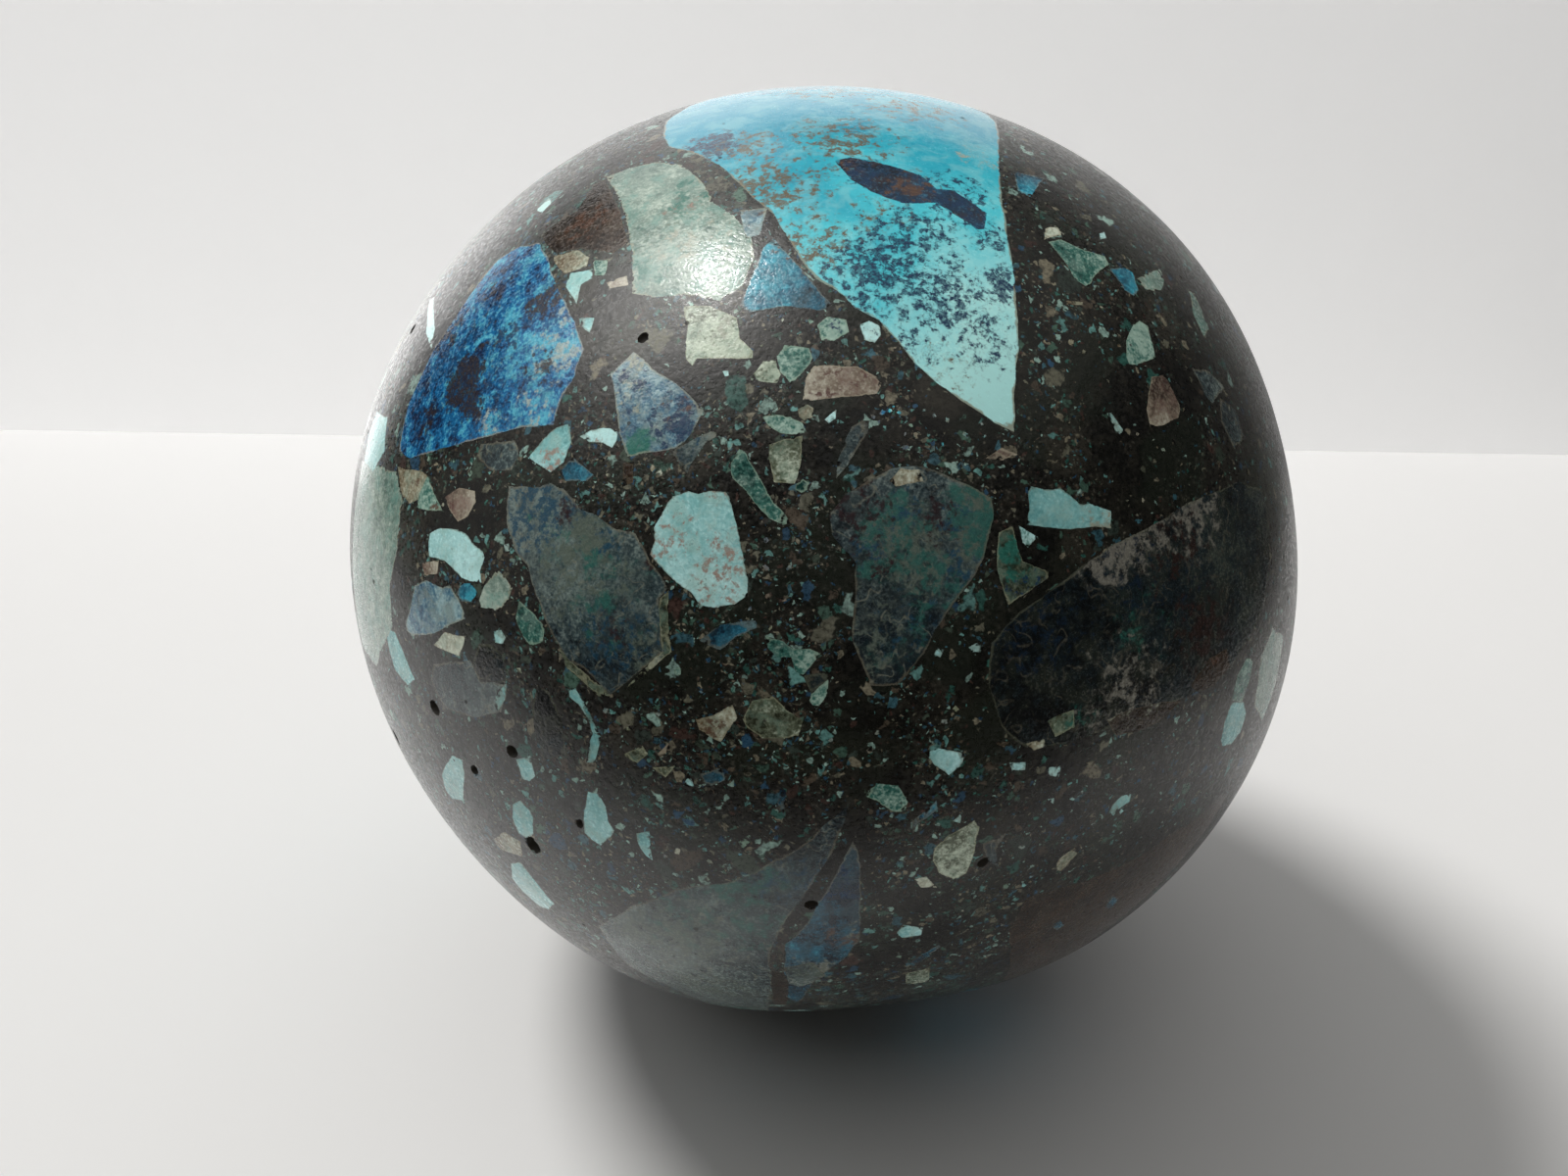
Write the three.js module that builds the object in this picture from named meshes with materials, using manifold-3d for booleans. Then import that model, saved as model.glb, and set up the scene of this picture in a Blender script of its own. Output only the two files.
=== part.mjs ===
// A polished ball of chrysocolla breccia: blue and green chips set flush in dark rock, ground by hand
// to a shape that is a little out of round, with open pits here and there.
// Millimetres, Z up. The origin is the middle of the small ground flat that the ball rests on,
// and -Y is the side with the large turquoise chip at its top.
import * as THREE from 'three';
import { mergeVertices } from 'three/addons/utils/BufferGeometryUtils.js';
import Module from 'manifold-3d';

// Size of the stone
const ballDiameter = 64;
const restingFlatDiameter = 11;

// Where the hand-ground ball is fuller (plus) or flatter (minus) than true round.
// Heading turns from +X towards +Y and height is above the middle, both in degrees.
// Rise is in millimetres at the middle of the place, and spread is how far it reaches, in degrees.
const lowPlaces = [
  { heading: -81, height: -43, rise: -0.95, spread: 17 },
  { heading: -141, height: -24, rise: -0.4, spread: 24 },
  { heading: -16, height: 22, rise: -0.22, spread: 16 },
  { heading: 54, height: 80, rise: -0.25, spread: 30 },
  { heading: 78, height: 8, rise: -0.45, spread: 30 },
];
const fullPlaces = [
  { heading: -171, height: 18, rise: 0.4, spread: 32 },
  { heading: -32, height: -9, rise: 0.42, spread: 26 },
  { heading: 122, height: -28, rise: 0.35, spread: 34 },
  { heading: 28, height: 36, rise: 0.3, spread: 30 },
];

// Open pits in the front, at the widths seen there
const frontPits = [
  { heading: -117, height: 49, width: 0.6 },
  { heading: -135, height: 5, width: 0.95 },
  { heading: -123, height: 5, width: 0.85 },
  { heading: -129, height: 0, width: 0.7 },
  { heading: -122, height: -7, width: 1.2 },
  { heading: -115, height: -1, width: 0.6 },
  { heading: -91, height: -7, width: 0.85 },
  { heading: -74, height: -3, width: 0.7 },
];

// Pits on the other sides, scattered evenly over the ball and kept off the flat and off the front,
// which is the side that faces a viewer who looks a little down on the ball
const scatteredPits = 22;
const scatteredPitWidths = [0.6, 1.2];
const lowestPitHeight = -55;
const frontMiddle = { heading: -90, height: 30 };
const frontHalfAngle = 62;

// A pit is a shallow bowl: its depth below the surface, as a share of its width
const pitDepthShare = 0.45;

// Fineness of the faceted surface
const ballDetail = 15;
const pitDetail = 1;

// Stone colour: dark brown rock seen between the chips, with a polished surface
const rockColour = 0x2b2723;
const polishRoughness = 0.16;

const ballRadius = ballDiameter / 2;
const flatRadius = restingFlatDiameter / 2;
const centreHeight = Math.sqrt(ballRadius ** 2 - flatRadius ** 2);

function directionOf({ heading, height }) {
  const turn = THREE.MathUtils.degToRad(heading);
  const lift = THREE.MathUtils.degToRad(height);
  return new THREE.Vector3(
    Math.cos(lift) * Math.cos(turn),
    Math.cos(lift) * Math.sin(turn),
    Math.sin(lift),
  );
}

const groundPlaces = [...lowPlaces, ...fullPlaces].map((place) => ({
  middle: directionOf(place),
  rise: place.rise,
  spread: THREE.MathUtils.degToRad(place.spread),
}));

// Distance from the ball's centre to its surface along a unit direction
function surfaceRadius(direction) {
  let radius = ballRadius;
  for (const { middle, rise, spread } of groundPlaces) {
    const away = direction.angleTo(middle) / spread;
    radius += rise * Math.exp(-away * away);
  }
  return radius;
}

function positionsOnly(geometry) {
  geometry.deleteAttribute('normal');
  geometry.deleteAttribute('uv');
  return mergeVertices(geometry);
}

const wasm = await Module();
wasm.setup();

function toSolid(geometry) {
  return new wasm.Manifold(new wasm.Mesh({
    numProp: 3,
    vertProperties: new Float32Array(geometry.getAttribute('position').array),
    triVerts: new Uint32Array(geometry.getIndex().array),
  }));
}

function toGeometry(solid) {
  const mesh = solid.getMesh();
  const geometry = new THREE.BufferGeometry();
  geometry.setAttribute('position', new THREE.BufferAttribute(mesh.vertProperties, mesh.numProp));
  geometry.setIndex(new THREE.BufferAttribute(mesh.triVerts, 1));
  geometry.computeVertexNormals();
  return geometry;
}

// The whole ball, before its flat and pits, with its centre at the origin
function groundBall() {
  const geometry = positionsOnly(new THREE.IcosahedronGeometry(1, ballDetail));
  const position = geometry.getAttribute('position');
  const direction = new THREE.Vector3();
  for (let i = 0; i < position.count; i += 1) {
    direction.fromBufferAttribute(position, i).normalize();
    direction.multiplyScalar(surfaceRadius(direction));
    position.setXYZ(i, direction.x, direction.y, direction.z);
  }
  return geometry;
}

// What is ground away under the ball to leave the flat that it rests on
function belowTheFlat() {
  const block = new THREE.BoxGeometry(ballDiameter, ballDiameter, ballRadius);
  block.translate(0, 0, -centreHeight - ballRadius / 2);
  return positionsOnly(block);
}

// The lump that leaves a pit: round across, and sunk by the pit's depth
function pitLump({ direction, width }) {
  const lump = positionsOnly(new THREE.IcosahedronGeometry(width / 2, pitDetail));
  const depth = width * pitDepthShare;
  lump.scale(1, 1, depth / (width / 2));
  lump.lookAt(direction);
  const place = direction.clone().multiplyScalar(surfaceRadius(direction));
  lump.translate(place.x, place.y, place.z);
  return lump;
}

// Evenly scattered directions: equal steps in height, turned by the golden angle each time
function scatteredPitPlaces() {
  const goldenAngle = 180 * (3 - Math.sqrt(5));
  const front = directionOf(frontMiddle);
  const places = [];
  for (let i = 0; i < scatteredPits; i += 1) {
    const level = 1 - (2 * i + 1) / scatteredPits;
    const height = THREE.MathUtils.radToDeg(Math.asin(level));
    const direction = directionOf({ heading: i * goldenAngle, height });
    const fromFront = THREE.MathUtils.radToDeg(direction.angleTo(front));
    if (height > lowestPitHeight && fromFront > frontHalfAngle) {
      const share = (i * 7 % scatteredPits) / scatteredPits;
      places.push({ direction, width: THREE.MathUtils.lerp(...scatteredPitWidths, share) });
    }
  }
  return places;
}

function allPits() {
  const front = frontPits.map((pit) => ({ direction: directionOf(pit), width: pit.width }));
  return [...front, ...scatteredPitPlaces()];
}

function chrysocollaBall() {
  let stone = toSolid(groundBall()).subtract(toSolid(belowTheFlat()));
  for (const pit of allPits()) {
    stone = stone.subtract(toSolid(pitLump(pit)));
  }
  const material = new THREE.MeshStandardMaterial({
    color: rockColour,
    roughness: polishRoughness,
    metalness: 0,
  });
  const ball = new THREE.Mesh(toGeometry(stone), material);
  ball.name = 'chrysocolla_ball';
  ball.position.z = centreHeight;
  return ball;
}

const group = new THREE.Group();
group.add(chrysocollaBall());
export default group;
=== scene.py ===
import math
import random

import bmesh
import bpy
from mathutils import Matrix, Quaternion, Vector, kdtree, noise


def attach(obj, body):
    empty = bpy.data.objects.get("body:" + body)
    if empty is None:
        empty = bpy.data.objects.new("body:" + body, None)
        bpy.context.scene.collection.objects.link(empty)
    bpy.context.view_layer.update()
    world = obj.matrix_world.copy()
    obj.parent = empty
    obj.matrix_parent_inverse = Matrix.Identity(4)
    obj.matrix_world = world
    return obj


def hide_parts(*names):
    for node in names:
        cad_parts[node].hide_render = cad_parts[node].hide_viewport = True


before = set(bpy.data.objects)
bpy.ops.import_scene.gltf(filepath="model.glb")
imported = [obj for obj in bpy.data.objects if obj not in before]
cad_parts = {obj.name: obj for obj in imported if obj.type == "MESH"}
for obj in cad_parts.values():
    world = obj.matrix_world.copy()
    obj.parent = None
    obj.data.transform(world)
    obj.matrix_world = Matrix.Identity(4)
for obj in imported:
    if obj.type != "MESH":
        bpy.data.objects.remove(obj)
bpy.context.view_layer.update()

mm = 0.001

# The stone's form, the same as the solid's. Heading turns from +X towards +Y, height is above
# the middle, both in degrees; rise is in mm and spread in degrees.
ball = {
    "diameter": 64.0,
    "flatDiameter": 11.0,
    "fineness": 7,           # subdivisions of the starting icosphere
    "polishedAway": 0.03,    # mm that the finished skin lies under the form
    "spreadsFelt": 3,        # spreads from its middle over which a ground place turns the normals
    "grindUpTo": 1.5,        # mm above the table up to which faces are cut for the flat
    "grindSnap": 0.01,       # mm from that cut within which a vertex counts as on it
    "flatWithin": 0.02,      # mm above the table within which the skin belongs to the flat
    "groundPlaces": [
        {"heading": -81, "height": -43, "rise": -0.95, "spread": 17},
        {"heading": -141, "height": -24, "rise": -0.4, "spread": 24},
        {"heading": -16, "height": 22, "rise": -0.22, "spread": 16},
        {"heading": 54, "height": 80, "rise": -0.25, "spread": 30},
        {"heading": 78, "height": 8, "rise": -0.45, "spread": 30},
        {"heading": -171, "height": 18, "rise": 0.4, "spread": 32},
        {"heading": -32, "height": -9, "rise": 0.42, "spread": 26},
        {"heading": 122, "height": -28, "rise": 0.35, "spread": 34},
        {"heading": 28, "height": 36, "rise": 0.3, "spread": 30},
    ],
}
ballRadius = ball["diameter"] / 2
centreHeight = math.sqrt(ballRadius ** 2 - (ball["flatDiameter"] / 2) ** 2)
ballCentre = Vector((0, 0, centreHeight))


def directionOf(heading, height):
    turn, lift = math.radians(heading), math.radians(height)
    return Vector((math.cos(lift) * math.cos(turn), math.cos(lift) * math.sin(turn), math.sin(lift)))


groundPlaces = [
    (directionOf(place["heading"], place["height"]), place["rise"], math.radians(place["spread"]))
    for place in ball["groundPlaces"]
]


def surfaceRadius(direction):
    radius = ballRadius
    for middle, rise, spread in groundPlaces:
        away = math.acos(max(-1.0, min(1.0, direction.dot(middle)))) / spread
        radius += rise * math.exp(-away * away)
    return radius


# The camera stands where the photo was taken from; pixels are those of its 1600 by 1200 frame
photo = {
    "width": 1600,
    "height": 1200,
    "focalPixels": 1610,
    "elevation": 30,          # degrees that it looks down on the ball
    "distanceInRadii": 3.5,
    "ballAt": (839, 567),     # pixel of the ball's centre
    "rimPixels": 480,         # radius of the ball's outline
    "rimShare": 0.995,        # a pixel further out than this share of it counts as beyond the outline
    "pastRimDegrees": 0.2,    # a pixel beyond the outline is this much further round the back
    "roundsToForm": 4,        # rounds in which a pixel's ray finds the uneven form
}
sensorWidth = 36.0
nearestSeen = 0.005           # metres


def placeCamera():
    lift = math.radians(photo["elevation"])
    back = Vector((0, -math.cos(lift), math.sin(lift)))
    level = (-back).to_track_quat("-Z", "Y")
    turn = cameraRay(*photo["ballAt"]).rotation_difference(Vector((0, 0, -1)))
    data = bpy.data.cameras.new("photoCamera")
    data.sensor_width = sensorWidth
    data.lens = sensorWidth * photo["focalPixels"] / photo["width"]
    data.clip_start = nearestSeen
    camera = bpy.data.objects.new("photoCamera", data)
    bpy.context.collection.objects.link(camera)
    camera.location = (ballCentre + back * photo["distanceInRadii"] * ballRadius) * mm
    camera.rotation_mode = "QUATERNION"
    camera.rotation_quaternion = level @ turn
    bpy.context.scene.camera = camera
    return camera


def cameraRay(x, y):
    right = (x - photo["width"] / 2) / photo["focalPixels"]
    down = (y - photo["height"] / 2) / photo["focalPixels"]
    return Vector((right, -down, -1)).normalized()


camera = placeCamera()
print("camera placed")


# Where a pixel of the photo lies on the ball, as a direction from the ball's centre
def onBall(x, y):
    across, down = x - photo["ballAt"][0], y - photo["ballAt"][1]
    out = math.hypot(across, down)
    rim = photo["rimPixels"] * photo["rimShare"]
    past = max(0.0, out - rim)
    if past:
        x = photo["ballAt"][0] + across * rim / out
        y = photo["ballAt"][1] + down * rim / out
    eye = camera.location / mm - ballCentre
    ray = camera.rotation_quaternion @ cameraRay(x, y)
    direction = -eye.normalized()
    radius = ballRadius
    for _ in range(photo["roundsToForm"]):
        along = -eye.dot(ray)
        short = max(0.0, along ** 2 - eye.length_squared + radius ** 2)
        direction = (eye + ray * (along - math.sqrt(short))).normalized()
        radius = surfaceRadius(direction)
    if past:
        axis = eye.cross(direction).normalized()
        direction = Quaternion(axis, math.radians(past * photo["pastRimDegrees"])) @ direction
    return direction


# Chips of the side in the photo: mineral, tone (0 its deepest colour, 1 its palest), outline in
# pixels, and where wanted the start and end of the line along which the chip grows paler
frontChips = [
    ("turquoise", 0.5, [(676, 136), (680, 123), (704, 98), (738, 54), (812, 38), (908, 20), (996, 62),
                        (1015, 112), (1018, 128), (1019, 168), (1023, 200), (1029, 241), (1035, 281),
                        (1039, 321), (1039, 348), (1036, 401), (1034, 440), (1015, 431), (986, 412),
                        (956, 391), (932, 369), (916, 348), (897, 326), (870, 313), (862, 302),
                        (833, 284), (817, 265), (801, 238), (790, 219), (758, 192), (734, 168),
                        (696, 152), (683, 151)], ((860, 120), (1000, 400))),
    ("ink", 0.4, [(852, 163), (868, 160), (908, 168), (940, 179), (956, 192), (972, 194), (1007, 217),
                  (1004, 233), (996, 234), (975, 219), (956, 207), (921, 207), (889, 195), (868, 182)]),
    ("azurite", 0.5, [(550, 247), (530, 251), (508, 264), (487, 290), (465, 323), (443, 355), (428, 386),
                       (417, 410), (409, 442), (407, 461), (419, 468), (439, 461), (476, 451), (508, 442),
                       (539, 435), (565, 433), (573, 405), (586, 383), (596, 355), (586, 329), (573, 303),
                       (563, 279), (559, 264)], ((430, 420), (580, 330))),
    ("fibrous", 0.46, [(619, 180), (632, 203), (641, 232), (645, 258), (645, 299), (664, 304), (700, 301),
                       (735, 306), (757, 292), (770, 262), (765, 240), (752, 222), (731, 208), (712, 182),
                       (695, 168), (672, 165), (645, 170)]),
    ("slate", 0.8, [(755, 214), (785, 211), (774, 240), (760, 243)]),
    # This chip grows paler towards the highlight beside it: that paler end is painted sheen of the highlight,
    # over the chip's own blue
    ("steel", 0.62, [(790, 243), (806, 262), (828, 286), (849, 310), (838, 316), (801, 313), (768, 318),
                     (755, 313), (766, 284), (779, 254)], ((838, 310), (770, 262))),
    ("brown", 0.15, [(552, 242), (561, 232), (589, 214), (606, 188), (617, 182), (632, 214), (641, 247),
                     (626, 258), (595, 253), (565, 258)]),
    ("cream", 0.4, [(562, 262), (590, 254), (602, 262), (598, 272), (575, 280)]),
    ("malachite", 0.5, [(604, 266), (621, 264), (619, 281), (606, 281)]),
    ("aqua", 0.75, [(582, 279), (604, 275), (604, 284), (593, 290), (587, 310), (576, 292)]),
    ("rose", 0.7, [(619, 288), (639, 281), (641, 290), (621, 294)]),
    ("aqua", 0.45, [(591, 325), (606, 325), (602, 340), (591, 333)]),
    ("aqua", 1.0, [(547, 214), (560, 201), (563, 206), (552, 217)]),
    ("slate", 0.62, [(647, 358), (653, 362), (664, 375), (681, 386), (699, 399), (718, 419), (710, 437),
                     (699, 450), (688, 459), (664, 461), (640, 466), (631, 441), (630, 421), (625, 393),
                     (623, 381), (636, 369)], ((660, 450), (655, 365))),
    ("ash", 0.8, [(684, 461), (694, 455), (712, 446), (727, 439), (733, 440), (731, 445), (720, 452),
                    (710, 465), (704, 476), (701, 484), (694, 473)]),
    ("aqua", 0.95, [(591, 446), (603, 439), (613, 437), (622, 437), (630, 440), (629, 450), (625, 457),
                   (614, 452), (602, 451)]),
    ("malachite", 0.35, [(754, 458), (761, 460), (766, 473), (779, 495), (790, 512), (801, 525), (805, 534),
                        (798, 536), (788, 530), (777, 521), (766, 508), (755, 495), (745, 486), (746, 473)]),
    ("malachite", 0.8, [(777, 424), (792, 423), (807, 425), (818, 430), (822, 441), (811, 444), (796, 441),
                        (785, 434)]),
    ("olive", 0.5, [(785, 454), (801, 448), (818, 445), (818, 469), (811, 493), (790, 492), (784, 469)]),
    ("malachite", 0.1, [(812, 494), (819, 488), (826, 493), (825, 500), (817, 503), (812, 500)]),
    ("rose", 0.62, [(820, 408), (822, 387), (831, 374), (850, 373), (874, 374), (894, 385), (900, 393),
                    (894, 402), (870, 404), (842, 407), (827, 409)], ((900, 392), (822, 392))),
    ("cream", 0.25, [(815, 417), (822, 412), (830, 416), (830, 425), (822, 428), (815, 424)]),
    ("aqua", 0.9, [(842, 428), (854, 419), (853, 428), (846, 432)]),
    ("ash", 0.55, [(868, 437), (879, 428), (887, 428), (885, 441), (874, 458), (864, 476), (853, 489),
                    (855, 471), (861, 452)]),
    ("olive", 0.85, [(766, 385), (779, 369), (792, 367), (796, 382), (792, 391), (768, 389)]),
    ("malachite", 0.72, [(801, 352), (824, 355), (830, 367), (818, 382), (807, 392), (796, 380), (793, 363)]),
    ("malachite", 0.9, [(834, 332), (845, 322), (864, 326), (866, 339), (850, 348), (837, 347)]),
    ("aqua", 1.0, [(879, 330), (887, 326), (898, 331), (900, 341), (893, 349), (881, 346)]),
    ("olive", 0.95, [(697, 313), (725, 311), (751, 324), (755, 345), (768, 358), (768, 365), (744, 365),
                     (712, 365), (707, 372), (700, 367), (699, 350), (701, 332)]),
    ("brown", 0.2, [(636, 471), (647, 471), (646, 491), (635, 497)]),
    ("steel", 0.35, [(584, 467), (605, 484), (597, 491), (577, 491), (571, 482)]),
    ("cream", 0.6, [(603, 469), (618, 465), (616, 471)]),
    ("aqua", 0.9, [(634, 505), (641, 499), (636, 510)]),
    ("aqua", 0.7, [(685, 508), (702, 501), (712, 504), (722, 501), (743, 502), (750, 530), (756, 556),
                   (764, 592), (764, 608), (752, 617), (729, 621), (712, 616), (705, 604), (690, 594),
                   (674, 580), (663, 566), (668, 551), (668, 538), (677, 521)], ((715, 505), (690, 600))),
    ("ash", 0.52, [(518, 496), (544, 497), (562, 493), (574, 498), (583, 507), (594, 520), (607, 525),
                     (624, 538), (648, 544), (657, 557), (664, 574), (677, 592), (681, 600), (672, 611),
                     (675, 631), (675, 652), (679, 665), (664, 678), (637, 698), (623, 710), (614, 700),
                     (598, 685), (579, 674), (568, 657), (555, 631), (546, 605), (538, 579), (525, 561),
                     (517, 538), (517, 516)], ((640, 690), (600, 560))),
    ("olive", 0.25, [(672, 612), (682, 602), (681, 636), (684, 666), (662, 686), (640, 701), (660, 680),
                     (676, 664), (672, 640)]),
    ("olive", 0.2, [(568, 657), (580, 674), (600, 690), (616, 702), (623, 711), (612, 712), (596, 698),
                    (578, 682)]),
    ("aqua", 0.45, [(539, 468), (548, 455), (556, 444), (568, 436), (581, 432), (582, 451), (575, 472),
                    (562, 481), (551, 475)], ((575, 440), (560, 480))),
    ("ash", 0.35, [(490, 453), (525, 449), (531, 462), (523, 479), (499, 479), (486, 466)]),
    ("rose", 0.5, [(453, 507), (468, 498), (484, 501), (485, 512), (477, 525), (467, 531), (458, 520)]),
    ("cream", 0.4, [(405, 477), (429, 481), (436, 486), (442, 500), (430, 508), (417, 514), (410, 505)]),
    ("malachite", 0.8, [(436, 486), (447, 514), (450, 521), (425, 519), (428, 503)]),
    ("aqua", 0.85, [(439, 544), (447, 539), (464, 539), (475, 544), (481, 553), (492, 561), (494, 568),
                    (490, 583), (491, 595), (481, 594), (470, 590), (462, 581), (453, 573), (438, 568),
                    (437, 555)]),
    ("rose", 0.6, [(430, 575), (447, 572), (446, 585), (432, 588)]),
    ("slate", 0.7, [(423, 596), (434, 592), (451, 600), (458, 597), (468, 611), (477, 631), (462, 637),
                     (442, 647), (421, 648), (412, 642), (418, 620)]),
    ("steel", 0.7, [(466, 605), (471, 596), (482, 596), (487, 606), (480, 614), (470, 613)]),
    ("fibrous", 0.6, [(506, 582), (515, 590), (523, 600), (519, 613), (507, 624), (490, 620), (488, 613),
                      (494, 598)]),
    ("malachite", 0.2, [(530, 614), (541, 624), (556, 640), (554, 656), (540, 660), (531, 646), (526, 630)]),
    ("cream", 0.95, [(453, 645), (475, 650), (468, 670), (455, 665), (443, 658)]),
    ("aqua", 0.8, [(504, 645), (511, 643), (516, 650), (513, 657), (505, 656)]),
    ("aqua", 0.9, [(513, 555), (518, 554), (520, 561), (515, 562)]),
    ("navy", 0.2, [(488, 657), (499, 657), (512, 668), (516, 689), (514, 698), (490, 694), (481, 678)]),
    ("ash", 0.5, [(442, 678), (479, 674), (490, 696), (516, 698), (516, 713), (510, 726), (481, 733),
                    (453, 722), (440, 696)]),
    ("aqua", 0.5, [(507, 704), (516, 698), (515, 715), (507, 726), (504, 720)]),
    ("aqua", 0.5, [(392, 640), (403, 646), (412, 668), (423, 694), (416, 700), (403, 685), (397, 665)]),
    ("navy", 0.1, [(547, 700), (560, 705), (572, 733), (579, 770), (556, 776), (544, 744), (543, 722)]),
    ("aqua", 0.45, [(579, 703), (586, 702), (597, 719), (602, 730), (598, 732), (590, 719), (580, 710)]),
    ("aqua", 0.2, [(597, 719), (607, 740), (611, 748), (605, 750), (600, 735), (594, 722)]),
    ("aqua", 0.35, [(605, 748), (613, 752), (611, 765), (606, 778), (597, 778), (599, 766)]),
    ("cream", 0.5, [(708, 733), (717, 732), (730, 729), (747, 719), (753, 733), (742, 749), (735, 758),
                     (726, 753), (712, 745)]),
    ("olive", 0.35, [(758, 733), (767, 715), (790, 710), (802, 724), (820, 735), (815, 751), (802, 754),
                     (779, 754), (763, 742)]),
    ("steel", 0.2, [(714, 653), (735, 637), (770, 632), (772, 641), (751, 649), (735, 664)]),
    ("malachite", 0.5, [(782, 649), (799, 655), (809, 662), (825, 662), (836, 667), (829, 678), (820, 689),
                         (811, 685), (806, 671), (793, 671), (785, 662)]),
    ("navy", 0.6, [(820, 689), (843, 687), (845, 696), (827, 708)]),
    ("malachite", 0.9, [(827, 708), (845, 694), (845, 708), (832, 724), (825, 715)]),
    ("olive", 0.4, [(636, 770), (655, 761), (662, 770), (650, 781)]),
    ("rose", 0.4, [(671, 770), (682, 758), (685, 765), (675, 774)]),
    ("olive", 0.25, [(665, 784), (689, 781), (678, 793)]),
    ("aqua", 0.8, [(697, 802), (702, 788), (708, 804)]),
    ("steel", 0.1, [(714, 790), (737, 784), (740, 797), (721, 804)]),
    ("aqua", 0.6, [(600, 809), (611, 811), (618, 823), (621, 839), (627, 848), (623, 855), (613, 863),
                   (604, 857), (596, 850), (596, 830)]),
    ("aqua", 0.5, [(648, 850), (662, 848), (666, 878), (659, 873), (650, 862)]),
    ("cream", 1.0, [(688, 865), (695, 866), (694, 872), (689, 871)]),
    ("malachite", 0.6, [(753, 859), (767, 852), (767, 859), (758, 866)]),
    ("steel", 0.2, [(795, 802), (801, 807), (801, 834), (794, 820)]),
    ("aqua", 0.7, [(450, 790), (461, 771), (471, 775), (474, 790), (472, 814), (475, 818), (461, 816),
                   (453, 804)]),
    ("aqua", 0.6, [(526, 775), (541, 772), (546, 792), (537, 800), (531, 792)]),
    ("aqua", 0.6, [(522, 820), (531, 817), (543, 831), (544, 851), (537, 856), (529, 851), (522, 835)]),
    ("cream", 0.4, [(502, 857), (514, 849), (531, 859), (533, 875), (522, 871), (510, 867)]),
    ("aqua", 0.7, [(521, 882), (531, 880), (543, 896), (565, 922), (561, 929), (551, 926), (533, 910),
                   (522, 896)]),
    ("ash", 0.42, [(867, 820), (840, 844), (811, 868), (788, 879), (764, 894), (738, 901), (690, 908),
                    (645, 925), (610, 945), (640, 985), (690, 1010), (740, 1028), (784, 1034), (787, 1000),
                    (785, 976), (794, 952), (811, 926), (832, 897), (849, 870), (861, 838)],
     ((840, 850), (680, 980))),
    ("steel", 0.12, [(873, 852), (877, 873), (879, 923), (876, 961), (862, 978), (849, 988), (832, 1000),
                       (812, 1024), (799, 1014), (800, 988), (802, 964), (820, 947), (835, 926), (855, 888)]),
    ("ash", 0.75, [(800, 988), (829, 982), (843, 996), (817, 1008), (805, 1004)]),
    ("brown", 0.05, [(788, 991), (800, 993), (805, 1004), (803, 1026), (790, 1026), (787, 1008)]),
    ("malachite", 0.6, [(884, 809), (896, 800), (917, 801), (926, 818), (923, 828), (911, 828), (896, 818),
                         (883, 813)]),
    ("steel", 0.5, [(931, 838), (955, 818), (956, 826), (937, 841), (933, 851)]),
    ("aqua", 0.9, [(971, 838), (981, 828), (978, 840)]),
    ("olive", 0.7, [(952, 867), (967, 853), (993, 838), (999, 844), (996, 867), (987, 891), (975, 897),
                     (958, 891), (951, 879)]),
    ("ash", 0.6, [(1002, 862), (1028, 850), (1016, 867), (1019, 885), (1008, 879)]),
    ("cream", 1.0, [(934, 897), (946, 894), (956, 906), (940, 907)]),
    ("aqua", 0.7, [(914, 952), (923, 944), (943, 947), (940, 955), (920, 958)]),
    ("olive", 0.7, [(923, 994), (949, 988), (949, 1002), (926, 1005)]),
    ("steel", 0.1, [(928, 982), (958, 964), (960, 967), (935, 985)]),
    ("aqua", 0.65, [(945, 768), (958, 764), (984, 770), (982, 780), (968, 791), (953, 780)]),
    ("ash", 0.22, [(911, 478), (934, 474), (947, 477), (967, 485), (995, 497), (1013, 508), (1014, 523),
                    (1010, 543), (1005, 569), (995, 589), (982, 604), (967, 625), (954, 645), (942, 668),
                    (929, 686), (916, 700), (888, 700), (880, 678), (868, 650), (870, 625), (873, 602),
                    (873, 574), (860, 559), (849, 545), (846, 525), (862, 505), (885, 490)],
     ((900, 680), (970, 520))),
    ("cream", 0.55, [(908, 490), (919, 478), (939, 478), (942, 490), (926, 492), (914, 497)]),
    ("rose", 0.2, [(1005, 467), (1023, 456), (1039, 464), (1023, 469)]),
    ("aqua", 0.45, [(1049, 496), (1067, 500), (1082, 498), (1092, 506), (1101, 514), (1115, 514), (1134, 522),
                    (1133, 539), (1115, 537), (1092, 540), (1047, 536), (1051, 515)]),
    ("aqua", 1.0, [(1039, 537), (1060, 548), (1050, 558), (1044, 553)]),
    ("olive", 0.1, [(1019, 543), (1033, 538), (1044, 574), (1077, 584), (1039, 610), (1028, 617),
                     (1018, 584)]),
    ("aqua", 0.6, [(952, 668), (956, 661), (963, 663), (960, 671)]),
    ("aqua", 0.8, [(990, 659), (998, 655), (1005, 658), (1003, 665), (993, 664)]),
    ("navy", 0.2, [(1134, 556), (1170, 540), (1215, 512), (1262, 492), (1290, 500), (1296, 560), (1290, 620),
                   (1272, 655), (1256, 684), (1237, 698), (1203, 714), (1158, 731), (1098, 757), (1047, 764),
                   (1022, 742), (1008, 700), (1012, 655), (1039, 625), (1088, 590)],
     ((1040, 740), (1200, 520))),
    ("brown", 0.1, [(1130, 735), (1160, 722), (1190, 716), (1205, 715), (1185, 735), (1160, 748),
                    (1140, 750)]),
    ("brown", 0.15, [(1215, 700), (1235, 672), (1252, 662), (1256, 682), (1240, 700), (1222, 706)]),
    ("olive", 0.3, [(1069, 736), (1096, 723), (1096, 743), (1078, 752)]),
    ("cream", 0.6, [(1047, 760), (1065, 754), (1067, 761), (1054, 767)]),
    ("brown", 0.3, [(1013, 758), (1031, 756), (1025, 763)]),
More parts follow.
